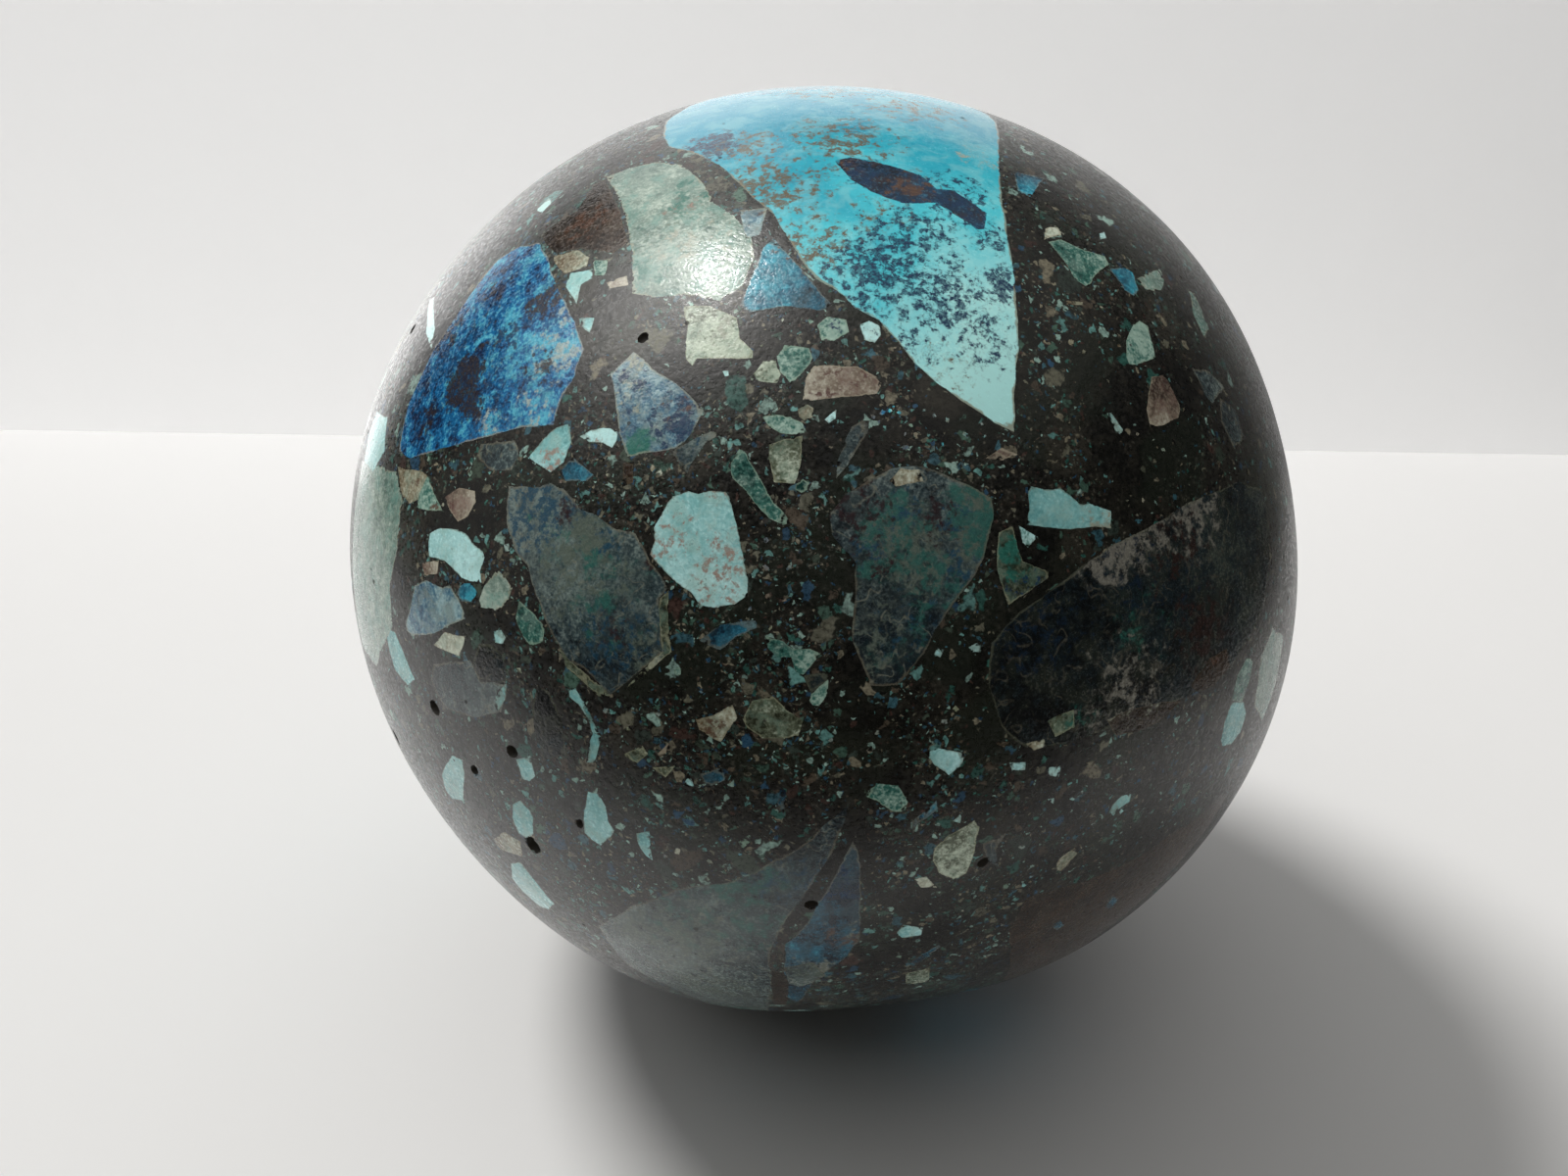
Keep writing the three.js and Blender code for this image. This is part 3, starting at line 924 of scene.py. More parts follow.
def mixColors(tree, factor, first, second, blend="MIX"):
    mix = addNode(tree, "ShaderNodeMix", {"Factor": factor}, data_type="RGBA", blend_type=blend)
    setSocket(tree, mix.inputs[6], first)
    setSocket(tree, mix.inputs[7], second)
    return mix.outputs[2]


# 0 below low, 1 above high and smooth between
def step(tree, value, low, high):
    inputs = {"Value": value, "From Min": low, "From Max": high}
    return addNode(tree, "ShaderNodeMapRange", inputs, interpolation_type="SMOOTHSTEP").outputs[0]


def noiseAt(tree, where, size, detail=2.0, roughness=0.5, distortion=0.0):
    scaled = maths(tree, "DIVIDE", 1.0, size)
    inputs = {"Vector": where, "Scale": scaled, "Detail": detail, "Roughness": roughness,
              "Distortion": distortion}
    return addNode(tree, "ShaderNodeTexNoise", inputs).outputs[0]


def centred(tree, value, strength):
    return times(tree, maths(tree, "SUBTRACT", value, 0.5), strength)


def newGroup(name, inputs, outputs):
    group = bpy.data.node_groups.new(name, "ShaderNodeTree")
    kinds = {tuple: "NodeSocketColor", float: "NodeSocketFloat", Vector: "NodeSocketVector"}
    for label, value in inputs.items():
        kind = kinds[type(value)]
        socket = group.interface.new_socket(label, in_out="INPUT", socket_type=kind)
        socket.default_value = value
    for label, kind in outputs.items():
        group.interface.new_socket(label, in_out="OUTPUT", socket_type=kind)
    given = group.nodes.new("NodeGroupInput").outputs
    results = group.nodes.new("NodeGroupOutput").inputs
    return group, given, results


def addGroup(tree, group, inputs):
    return addNode(tree, "ShaderNodeGroup", inputs, node_tree=group)


# Places on the stone in mm; each chip has its own shift, so no two show the same pattern
def stonePlace(tree):
    place = addNode(tree, "ShaderNodeTexCoord").outputs["Object"]
    return scaleVector(tree, place, 1 / mm)


def attribute(tree, name, output="Fac"):
    return addNode(tree, "ShaderNodeAttribute", attribute_name=name).outputs[output]


black = (0.0, 0.0, 0.0, 1.0)

# What the faces of all chips share. Sizes and widths are in mm, and an edge is the pair of noise
# values between which a pattern comes in.
facePattern = {
    "fibreStretch": (0.4, 2.6, 2.6),
    "grainSize": 0.2,
    "elsewhere": (91.0, 17.0, 43.0),  # moves the wash and the veins off the clouds
    "washEdge": (0.44, 0.64),
    "veinSize": 2.0,
    "veinEdge": (0.0, 0.022),
    "veinGaps": (0.38, 0.62),
    "speckEdge": (0.56, 0.68),
    "stainKinds": [           # shift in mm, and size as a share of the mineral's stain size
        ("Green Color", 71.0, 1.5),
        ("Pale Color", 53.0, 0.8),
        ("Blue Color", 37.0, 0.6),
        ("Rust Color", 11.0, 0.75),
    ],
    "stainCover": (1.1, 0.35),    # how much a stain covers: by the grain, and where there is none
    "stainLevel": (-0.42, 0.72),  # noise value over which it shows: by its strength, and at none
    "haloReach": -2.2,        # in softnesses of the stain
    "stainFaint": 0.15,       # a stain weaker than this dies out
    "raggedSize": 0.4,
    "wornSize": 1.8,
    "wornEdge": (0.3, 0.55),
    "biteEdge": (-0.02, 0.02),
}


# The cut face of one chip: clouds, mottling and grain in three colours, then a wash, veins, specks
# and stains. At its edge the rock bites into it unevenly, and a worn line follows inside that.
def makeMineralFace():
    group, given, results = newGroup(
        "mineralFace",
        {"Deep": black, "Middle": black, "Pale": black, "Cloud Size": 3.0, "Cloud": 1.0,
         "Mottle Size": 0.7, "Mottle": 1.0, "Grain": 0.5, "Fibre": 0.0, "Fade": 0.5,
         "Wash": 0.0, "Wash Size": 1.6, "Wash Color": black, "Vein": 0.0, "Vein Color": black,
         "Speck": 0.3, "Speck Color": black, "Stain Size": 1.0, "Stain Softness": 0.06, "Halo": 0.25,
         "Rust Color": black, "Blue Color": black, "Pale Color": black, "Green Color": black,
         "Rim": 0.5, "Rim Width": 0.12, "Rim Color": black, "Bite": 0.12, "Rock Color": black,
         "Coarseness": 1.0},
        {"Color": "NodeSocketColor", "Relief": "NodeSocketFloat"})
    place = stonePlace(group)
    shift = attribute(group, "shift", "Vector")
    moved = vectorMaths(group, "ADD", place, shift)
    turned = addNode(group, "ShaderNodeVectorRotate", {"Vector": place, "Rotation": shift},
                     rotation_type="EULER_XYZ").outputs[0]
    color, mottle, grain = layClouds(group, given, moved, turned)
    color = layWash(group, given, color, moved, mottle, grain)
    color = soakStains(group, given, color, moved, grain)
    color = wearEdge(group, given, color, place)
    relief = maths(group, "ADD", centred(group, grain, given["Coarseness"]), 0.5)
    group.links.new(color, results["Color"])
    group.links.new(relief, results["Relief"])
    return group


# Clouds, mottling, grain and fibres, in the mineral's three colours
def layClouds(group, given, moved, turned):
    fibreWay = vectorMaths(group, "MULTIPLY", turned, facePattern["fibreStretch"])
    cloud = noiseAt(group, moved, given["Cloud Size"], 3.0, 0.55, 0.3)
    mottle = noiseAt(group, moved, given["Mottle Size"], 3.0, 0.7, 0.2)
    grain = noiseAt(group, moved, facePattern["grainSize"], 1.0, 0.7)
    fibre = noiseAt(group, fibreWay, 1.0, 2.0, 0.6, 0.3)
    value = attribute(group, "tone")
    for part, strength in ((cloud, "Cloud"), (mottle, "Mottle"), (grain, "Grain"), (fibre, "Fibre")):
        value = maths(group, "ADD", value, centred(group, part, given[strength]))
    value = maths(group, "ADD", value, centred(group, attribute(group, "along"), given["Fade"]))
    lower = times(group, value, 2.0, clamp=True)
    upper = maths(group, "MULTIPLY_ADD", value, 2.0, -1.0, clamp=True)
    color = mixColors(group, lower, given["Deep"], given["Middle"])
    return mixColors(group, upper, color, given["Pale"]), mottle, grain


# A wash in patches, thin veins where the mottling lets them through, and specks on the wash
def layWash(group, given, color, moved, mottle, grain):
    elsewhere = vectorMaths(group, "ADD", moved, facePattern["elsewhere"])
    wash = noiseAt(group, elsewhere, given["Wash Size"], 3.0, 0.65, 0.3)
    wash = times(group, step(group, wash, *facePattern["washEdge"]), given["Wash"])
    color = mixColors(group, wash, color, given["Wash Color"])

    veinNoise = noiseAt(group, elsewhere, facePattern["veinSize"], 2.0, 0.6, 0.4)
    veinLine = maths(group, "ABSOLUTE", maths(group, "SUBTRACT", veinNoise, 0.5))
    vein = oneMinus(group, step(group, veinLine, *facePattern["veinEdge"]))
    vein = times(group, vein, step(group, mottle, *facePattern["veinGaps"]))
    vein = times(group, vein, given["Vein"])
    color = mixColors(group, vein, color, given["Vein Color"])

    speck = times(group, step(group, grain, *facePattern["speckEdge"]), given["Speck"])
    speck = times(group, speck, step(group, wash, 0.0, 0.5))
    return mixColors(group, speck, color, given["Speck Color"])


# The stains that cross the chips: lace where they are weak, whole where they are strong
def soakStains(group, given, color, moved, grain):
    amounts = addNode(group, "ShaderNodeSeparateXYZ", {0: attribute(group, "stain", "Vector")}).outputs
    amounts = (attribute(group, "greenStain"), amounts[2], amounts[1], amounts[0])
    mottled = maths(group, "MULTIPLY_ADD", grain, *facePattern["stainCover"], clamp=True)
    soft = given["Stain Softness"]
    for amount, (name, offset, size) in zip(amounts, facePattern["stainKinds"]):
        apart = vectorMaths(group, "ADD", moved, (offset, offset, offset))
        size = times(group, given["Stain Size"], size)
        lace = noiseAt(group, apart, size, 3.0, 0.72, 0.2)
        level = maths(group, "MULTIPLY_ADD", amount, *facePattern["stainLevel"])
        over = maths(group, "SUBTRACT", lace, level)
        core = step(group, over, times(group, soft, -1.0), soft)
        halo = step(group, over, times(group, soft, facePattern["haloReach"]), soft)
        mask = maths(group, "MAXIMUM", core, times(group, halo, given["Halo"]))
        mask = times(group, mask, step(group, amount, 0.0, facePattern["stainFaint"]))
        color = mixColors(group, times(group, mask, mottled), color, given[name])
    return color


# At its edge the rock bites into the chip unevenly, and a worn line follows inside that
def wearEdge(group, given, color, place):
    ragged = noiseAt(group, place, facePattern["raggedSize"], 2.0, 0.6)
    broken = noiseAt(group, place, facePattern["wornSize"], 1.0)
    bite = centred(group, ragged, times(group, given["Bite"], 2.0))
    inside = maths(group, "SUBTRACT", attribute(group, "rim"), bite)
    width = maths(group, "MULTIPLY_ADD", broken, 4.0, -1.2, clamp=True)
    width = maths(group, "MULTIPLY_ADD", width, given["Rim Width"], 0.02)
    rimMask = oneMinus(group, step(group, inside, times(group, width, 0.4), width))
    rimMask = times(group, rimMask, step(group, broken, *facePattern["wornEdge"]))
    color = mixColors(group, times(group, rimMask, given["Rim"]), color, given["Rim Color"])
    bitten = oneMinus(group, step(group, inside, *facePattern["biteEdge"]))
    return mixColors(group, bitten, color, given["Rock Color"])


# Broken crumbs of the same minerals, as flat angular cells, some of them left as rock
def makeCrumbs():
    group, given, results = newGroup(
        "crumbs", {"Base": black, "Size": 1.0, "Amount": 0.3, "Offset": 0.0, "Gap": 0.06, "Density": 1.0,
                   "Grain": 0.5, "Place": Vector()},
        {"Color": "NodeSocketColor"})
    scaled = scaleVector(group, given["Place"], maths(group, "DIVIDE", 1.0, given["Size"]))
    offset = addNode(group, "ShaderNodeCombineXYZ", {0: given["Offset"], 1: given["Offset"]}).outputs[0]
    scaled = vectorMaths(group, "ADD", scaled, offset)
    cell = addNode(group, "ShaderNodeTexVoronoi", {"Vector": scaled, "Scale": 1.0}).outputs["Color"]
    edge = addNode(group, "ShaderNodeTexVoronoi", {"Vector": scaled, "Scale": 1.0},
                   feature="DISTANCE_TO_EDGE").outputs["Distance"]
    chance = addNode(group, "ShaderNodeSeparateColor", {0: cell}).outputs
    chosen = maths(group, "LESS_THAN", chance[0], times(group, given["Amount"], given["Density"]))
    inner = maths(group, "MULTIPLY_ADD", chance[2], 0.2, given["Gap"])
    mask = times(group, chosen, step(group, maths(group, "SUBTRACT", edge, inner), -0.01, 0.07))
    ramp = addNode(group, "ShaderNodeValToRGB", {0: chance[1]})
    ramp.color_ramp.interpolation = "CONSTANT"
    stops = ramp.color_ramp.elements
    while len(stops) < len(crumbColors):
        stops.new(0.5)
    for number, color in enumerate(crumbColors):
        stops[number].position = number / len(crumbColors)
        stops[number].color = color
    lighter = maths(group, "MULTIPLY_ADD", chance[2], 0.6, -0.5)
    shade = maths(group, "MULTIPLY_ADD", given["Grain"], 2.2, lighter)
    crumb = mixColors(group, 1.0, ramp.outputs[0], shade, "MULTIPLY")
    group.links.new(mixColors(group, mask, given["Base"], crumb), results["Color"])
    return group


# What hand polishing leaves: slight waves, fine scratches, small pores and a little smear
def makePolish():
    group, given, results = newGroup(
        "polish", {"Relief": 0.0, "Relief Depth": 0.1, "Uneven": 2.3, "Roughness": 0.2, "Smear": 0.14,
                   "Grain Shine": 0.6, "Pores": 0.8},
        {"Height": "NodeSocketFloat", "Roughness": "NodeSocketFloat", "Pore": "NodeSocketFloat"})
    place = stonePlace(group)
    smear = noiseAt(group, place, 2.5, 3.0, 0.7, 0.6)
    uneven = noiseAt(group, place, 0.55, 2.0, 0.6)
    turned = addNode(group, "ShaderNodeVectorRotate", {"Vector": place, "Rotation": (0.3, 0.9, 0.2)},
                     rotation_type="EULER_XYZ").outputs[0]
    lines = noiseAt(group, vectorMaths(group, "MULTIPLY", turned, (0.12, 9.0, 0.5)), 1.0, 1.0)
    scratch = step(group, lines, 0.70, 0.76)
    holes = addNode(group, "ShaderNodeTexVoronoi", {"Vector": place, "Scale": 0.7}).outputs
    chance = addNode(group, "ShaderNodeSeparateColor", {0: holes["Color"]}).outputs
    size = times(group, maths(group, "POWER", chance[0], 6.0), 0.13)
    pore = maths(group, "LESS_THAN", holes["Distance"], size)
    pore = times(group, pore, given["Pores"])
    height = times(group, given["Relief"], given["Relief Depth"])
    height = maths(group, "MULTIPLY_ADD", uneven, given["Uneven"], height)
    height = maths(group, "MULTIPLY_ADD", scratch, -0.12, height)
    height = maths(group, "MULTIPLY_ADD", pore, -2.0, height)
    rough = maths(group, "ADD", given["Roughness"], centred(group, smear, given["Smear"]))
    rough = maths(group, "ADD", rough, centred(group, given["Relief"], given["Grain Shine"]))
    rough = maths(group, "MULTIPLY_ADD", scratch, 0.1, rough)
    rough = maths(group, "MULTIPLY_ADD", pore, 0.5, rough, clamp=True)
    group.links.new(height, results["Height"])
    group.links.new(rough, results["Roughness"])
    group.links.new(pore, results["Pore"])
    return group


crumbColors = [
    (0.10, 0.25, 0.23, 1), (0.024, 0.10, 0.08, 1), (0.12, 0.12, 0.085, 1), (0.016, 0.06, 0.11, 1),
    (0.07, 0.055, 0.038, 1), (0.24, 0.38, 0.33, 1), (0.045, 0.024, 0.018, 1), (0.05, 0.11, 0.08, 1),
    (0.03, 0.045, 0.036, 1), (0.18, 0.165, 0.115, 1), (0.035, 0.11, 0.14, 1), (0.04, 0.06, 0.042, 1),
]
mineralFace = makeMineralFace()
crumbs = makeCrumbs()
polish = makePolish()

# The dark rock between the chips; sizes in mm
rock = {
    "dark": (0.0034, 0.0035, 0.0026, 1),
    "light": (0.016, 0.0148, 0.0105, 1),
    "pebble": (0.036, 0.033, 0.024, 1),
    "green": (0.013, 0.018, 0.011, 1),
    "grainSize": 0.24,
    "mottleSize": 0.9,
    "patchSize": 4.5,
    "tintSize": 5.0,
    "tintPlace": (31.0, 7.0, 59.0),   # moves the green tint off the patches
    "pebblesPerMm": 0.3,
    "pebbleChance": 0.8,      # cells whose draw is above this hold a pebble
    "dustColor": (0.12, 0.115, 0.088, 1),
    "crumbs": [              # share of the rock that they take, and an offset to part them
        {"Size": 0.2, "Amount": 0.3, "Offset": 5.0},
        {"Size": 0.4, "Amount": 0.3, "Offset": 19.0},
        {"Size": 0.8, "Amount": 0.22, "Offset": 31.0},
        {"Size": 1.5, "Amount": 0.13, "Offset": 43.0},
    ],
    "sparseAcross": (5, 18),  # mm from the middle to the right over which the crumbs grow fewer
    "sparse": 0.6,           # share of them that is missing there
    "pitColor": (0.012, 0.009, 0.006, 1),
}
everyMineral = {
    "Rust Color": (0.10, 0.055, 0.035, 1), "Blue Color": (0.008, 0.035, 0.085, 1),
    "Pale Color": (0.34, 0.37, 0.29, 1), "Green Color": (0.02, 0.15, 0.115, 1), "Rock Color": rock["dark"],
}

# Each mineral's own look; sizes in mm
minerals = {
    "turquoise": {
        "Deep": (0.004, 0.31, 0.45, 1), "Middle": (0.07, 0.60, 0.70, 1), "Pale": (0.47, 0.88, 0.86, 1),
        "Cloud Size": 7.0, "Cloud": 1.1, "Mottle": 0.3, "Grain": 0.14, "Fade": 1.2, "Coarseness": 0.35,
        "Wash": 0.22, "Wash Size": 1.6, "Wash Color": (0.44, 0.78, 0.74, 1),
        "Speck": 0.18, "Speck Color": (0.03, 0.20, 0.27, 1),
        "Stain Size": 0.85, "Stain Softness": 0.055, "Halo": 0.5,
        "Rust Color": (0.13, 0.10, 0.06, 1),
        "Rim": 0.8, "Rim Width": 0.16, "Rim Color": (0.24, 0.20, 0.12, 1),
    },
    "ink": {
        "Deep": (0.006, 0.012, 0.022, 1), "Middle": (0.008, 0.045, 0.095, 1), "Pale": (0.03, 0.16, 0.26, 1),
        "Cloud Size": 2.0, "Cloud": 1.2, "Mottle": 1.4, "Grain": 0.8, "Fade": 0.2,
        "Wash": 0.6, "Wash Size": 1.2, "Wash Color": (0.045, 0.027, 0.023, 1),
        "Speck": 0.5, "Speck Color": (0.05, 0.20, 0.26, 1),
        "Rim": 0.0, "Bite": 0.28, "Rock Color": (0.02, 0.24, 0.33, 1),
    },
    "azurite": {
        "Deep": (0.004, 0.018, 0.06, 1), "Middle": (0.007, 0.14, 0.34, 1), "Pale": (0.09, 0.45, 0.60, 1),
        "Cloud Size": 2.6, "Cloud": 1.9, "Mottle": 2.4, "Mottle Size": 0.9, "Grain": 1.1, "Fade": 0.3,
        "Wash": 0.3, "Wash Size": 1.1, "Wash Color": (0.012, 0.03, 0.06, 1),
        "Speck": 0.5, "Speck Color": (0.22, 0.52, 0.60, 1), "Stain Size": 0.9, "Stain Softness": 0.06,
        "Rust Color": (0.022, 0.017, 0.02, 1), "Pale Color": (0.34, 0.42, 0.40, 1),
        "Rim": 0.7, "Rim Width": 0.13, "Rim Color": (0.26, 0.24, 0.17, 1),
    },
    "slate": {
        "Deep": (0.018, 0.055, 0.11, 1), "Middle": (0.07, 0.18, 0.26, 1), "Pale": (0.30, 0.46, 0.49, 1),
        "Cloud Size": 2.2, "Cloud": 1.8, "Mottle": 1.6, "Grain": 1.0, "Fibre": 0.6, "Fade": 0.5,
        "Wash": 0.6, "Wash Size": 1.3, "Wash Color": (0.21, 0.28, 0.26, 1),
        "Speck": 0.5, "Speck Color": (0.04, 0.06, 0.07, 1),
        "Vein": 0.35, "Vein Color": (0.36, 0.36, 0.29, 1),
        "Rust Color": (0.10, 0.06, 0.05, 1),
        "Rim": 0.6, "Rim Width": 0.12, "Rim Color": (0.28, 0.29, 0.21, 1),
    },
    "steel": {
        "Deep": (0.006, 0.017, 0.031, 1), "Middle": (0.018, 0.14, 0.22, 1), "Pale": (0.05, 0.41, 0.54, 1),
        "Cloud Size": 2.4, "Cloud": 1.4, "Mottle": 1.2, "Grain": 0.8, "Fibre": 0.3, "Fade": 0.5,
        "Wash": 0.25, "Wash Size": 1.2, "Wash Color": (0.075, 0.17, 0.20, 1),
        "Speck": 0.4, "Speck Color": (0.012, 0.025, 0.03, 1),
        "Pale Color": (0.20, 0.22, 0.18, 1),
        "Rim": 0.5, "Rim Width": 0.1, "Rim Color": (0.18, 0.18, 0.13, 1),
    },
    "ash": {
        "Deep": (0.008, 0.014, 0.018, 1), "Middle": (0.045, 0.071, 0.076, 1), "Pale": (0.17, 0.225, 0.21, 1),
        "Cloud Size": 2.6, "Cloud": 1.3, "Mottle": 1.5, "Grain": 1.3, "Fibre": 0.6, "Fade": 0.7,
        "Wash": 0.4, "Wash Size": 1.5, "Wash Color": (0.042, 0.058, 0.056, 1),
        "Speck": 0.7, "Speck Color": (0.015, 0.018, 0.016, 1),
        "Vein": 0.8, "Vein Color": (0.19, 0.20, 0.155, 1),
        "Rust Color": (0.026, 0.013, 0.015, 1), "Blue Color": (0.014, 0.06, 0.10, 1),
        "Pale Color": (0.10, 0.13, 0.105, 1), "Green Color": (0.025, 0.12, 0.10, 1),
        "Stain Size": 0.8, "Stain Softness": 0.08,
        "Rim": 0.45, "Rim Width": 0.16, "Rim Color": (0.17, 0.15, 0.10, 1),
    },
    "fibrous": {
        "Deep": (0.09, 0.16, 0.135, 1), "Middle": (0.22, 0.31, 0.26, 1), "Pale": (0.46, 0.56, 0.48, 1),
        "Cloud Size": 3.0, "Cloud": 1.2, "Mottle": 1.1, "Grain": 0.8, "Fibre": 1.3, "Fade": 0.2,
        "Wash": 0.55, "Wash Size": 1.2, "Wash Color": (0.15, 0.34, 0.29, 1),
        "Speck": 0.5, "Speck Color": (0.12, 0.13, 0.10, 1),
        "Rust Color": (0.24, 0.17, 0.13, 1),
        "Rim": 0.5, "Rim Width": 0.12, "Rim Color": (0.34, 0.32, 0.22, 1), "Bite": 0.35,
    },
    "malachite": {
        "Deep": (0.006, 0.04, 0.033, 1), "Middle": (0.04, 0.155, 0.125, 1), "Pale": (0.34, 0.50, 0.42, 1),
        "Cloud Size": 1.4, "Cloud": 1.5, "Mottle": 1.6, "Mottle Size": 0.5, "Grain": 1.2, "Fade": 0.4,
        "Wash": 0.45, "Wash Size": 0.8, "Wash Color": (0.20, 0.33, 0.28, 1),
        "Speck": 0.6, "Speck Color": (0.30, 0.42, 0.34, 1),
        "Rim": 0.7, "Rim Width": 0.08, "Rim Color": (0.25, 0.37, 0.28, 1),
    },
    "aqua": {
        "Deep": (0.05, 0.22, 0.23, 1), "Middle": (0.24, 0.55, 0.55, 1), "Pale": (0.55, 0.89, 0.88, 1),
        "Cloud Size": 2.0, "Cloud": 0.9, "Mottle": 0.7, "Grain": 0.6, "Fade": 0.3, "Coarseness": 0.6,
        "Wash": 0.35, "Wash Size": 1.1, "Wash Color": (0.42, 0.60, 0.52, 1),
        "Speck": 0.75, "Speck Color": (0.07, 0.20, 0.19, 1),
        "Vein": 0.3, "Vein Color": (0.05, 0.15, 0.15, 1), "Stain Size": 0.6, "Stain Softness": 0.08,
        "Rust Color": (0.33, 0.245, 0.20, 1),
        "Rim": 0.5, "Rim Width": 0.07, "Rim Color": (0.18, 0.18, 0.12, 1),
    },
    "navy": {
        "Deep": (0.003, 0.0045, 0.005, 1), "Middle": (0.010, 0.020, 0.024, 1), "Pale": (0.06, 0.075, 0.06, 1),
        "Cloud Size": 3.4, "Cloud": 1.5, "Mottle": 1.3, "Mottle Size": 0.9, "Grain": 0.8, "Fibre": 0.2,
        "Fade": 0.5, "Wash": 0.5, "Wash Size": 1.8, "Wash Color": (0.028, 0.036, 0.027, 1),
        "Speck": 0.5, "Speck Color": (0.07, 0.07, 0.05, 1),
        "Vein": 0.7, "Vein Color": (0.085, 0.08, 0.06, 1),
        "Rust Color": (0.024, 0.012, 0.010, 1), "Blue Color": (0.006, 0.016, 0.030, 1),
        "Pale Color": (0.20, 0.195, 0.165, 1), "Green Color": (0.02, 0.11, 0.085, 1),
        "Stain Size": 0.9, "Stain Softness": 0.07,
        "Rim": 0.4, "Rim Width": 0.16, "Rim Color": (0.13, 0.14, 0.095, 1),
    },
    "rose": {
        "Deep": (0.045, 0.03, 0.024, 1), "Middle": (0.22, 0.18, 0.135, 1), "Pale": (0.49, 0.47, 0.38, 1),
        "Cloud Size": 2.0, "Cloud": 1.3, "Mottle": 1.0, "Grain": 0.8, "Fibre": 0.5, "Fade": 0.6,
        "Wash": 0.45, "Wash Size": 1.1, "Wash Color": (0.20, 0.12, 0.10, 1),
        "Speck": 0.4, "Speck Color": (0.06, 0.035, 0.03, 1),
        "Rust Color": (0.10, 0.045, 0.038, 1),
        "Rim": 0.6, "Rim Width": 0.08, "Rim Color": (0.36, 0.33, 0.24, 1),
    },
    "olive": {
        "Deep": (0.022, 0.026, 0.014, 1), "Middle": (0.12, 0.145, 0.095, 1), "Pale": (0.55, 0.64, 0.51, 1),
        "Cloud Size": 1.6, "Cloud": 1.3, "Mottle": 1.4, "Mottle Size": 0.5, "Grain": 1.0, "Fade": 0.3,
        "Wash": 0.45, "Wash Size": 1.0, "Wash Color": (0.20, 0.31, 0.235, 1),
        "Speck": 0.5, "Speck Color": (0.10, 0.07, 0.035, 1),
        "Rim": 0.5, "Rim Width": 0.08, "Rim Color": (0.34, 0.35, 0.23, 1),
    },
    "cream": {
        "Deep": (0.12, 0.085, 0.048, 1), "Middle": (0.32, 0.31, 0.22, 1), "Pale": (0.60, 0.66, 0.54, 1),
        "Cloud Size": 1.4, "Cloud": 1.2, "Mottle": 1.3, "Mottle Size": 0.5, "Grain": 1.0, "Fade": 0.3,
        "Wash": 0.35, "Wash Size": 0.9, "Wash Color": (0.22, 0.35, 0.28, 1),
        "Speck": 0.5, "Speck Color": (0.12, 0.08, 0.05, 1),
        "Rim": 0.4, "Rim Width": 0.08, "Rim Color": (0.22, 0.17, 0.10, 1),
    },
    "brown": {
        "Deep": (0.012, 0.007, 0.004, 1), "Middle": (0.048, 0.027, 0.014, 1), "Pale": (0.15, 0.13, 0.095, 1),
        "Cloud Size": 2.0, "Cloud": 1.5, "Mottle": 1.0, "Grain": 0.8, "Fade": 0.3,
        "Wash": 0.4, "Wash Size": 1.2, "Wash Color": (0.055, 0.045, 0.033, 1),
        "Speck": 0.4, "Speck Color": (0.12, 0.10, 0.075, 1),
        "Rust Color": (0.075, 0.033, 0.016, 1),
        "Rim": 0.3, "Rim Width": 0.08, "Rim Color": (0.14, 0.12, 0.08, 1),
    },
}
surface = {
    "ior": 1.54,
    "bumpDepth": 0.00001,    # metres
    "chipRoughness": 0.23,
    "chipRelief": 1.5,
    "rockRoughness": 0.32,
    "rockRelief": 1.2,
    "pitRoughness": 0.8,
}


def finishSurface(material, color, relief, roughness, depth):
    tree = material.node_tree
    shine = addGroup(tree, polish, {"Relief": relief, "Relief Depth": depth, "Roughness": roughness})
    dark = mixColors(tree, shine.outputs["Pore"], color, rock["pitColor"])
    bump = addNode(tree, "ShaderNodeBump", {"Height": shine.outputs["Height"],
                                            "Distance": surface["bumpDepth"]})
    shader = tree.nodes["Principled BSDF"]
    shader.inputs["IOR"].default_value = surface["ior"]
    tree.links.new(dark, shader.inputs["Base Color"])
    tree.links.new(shine.outputs["Roughness"], shader.inputs["Roughness"])
    tree.links.new(bump.outputs[0], shader.inputs["Normal"])


def newMaterial(name):
    material = bpy.data.materials.new(name)
    material.use_nodes = True
    return material


def makeMineral(name):
    material = newMaterial(name)
    face = addGroup(material.node_tree, mineralFace, {**everyMineral, **minerals[name]}).outputs
    finishSurface(material, face["Color"], face["Relief"], surface["chipRoughness"], surface["chipRelief"])
    return material


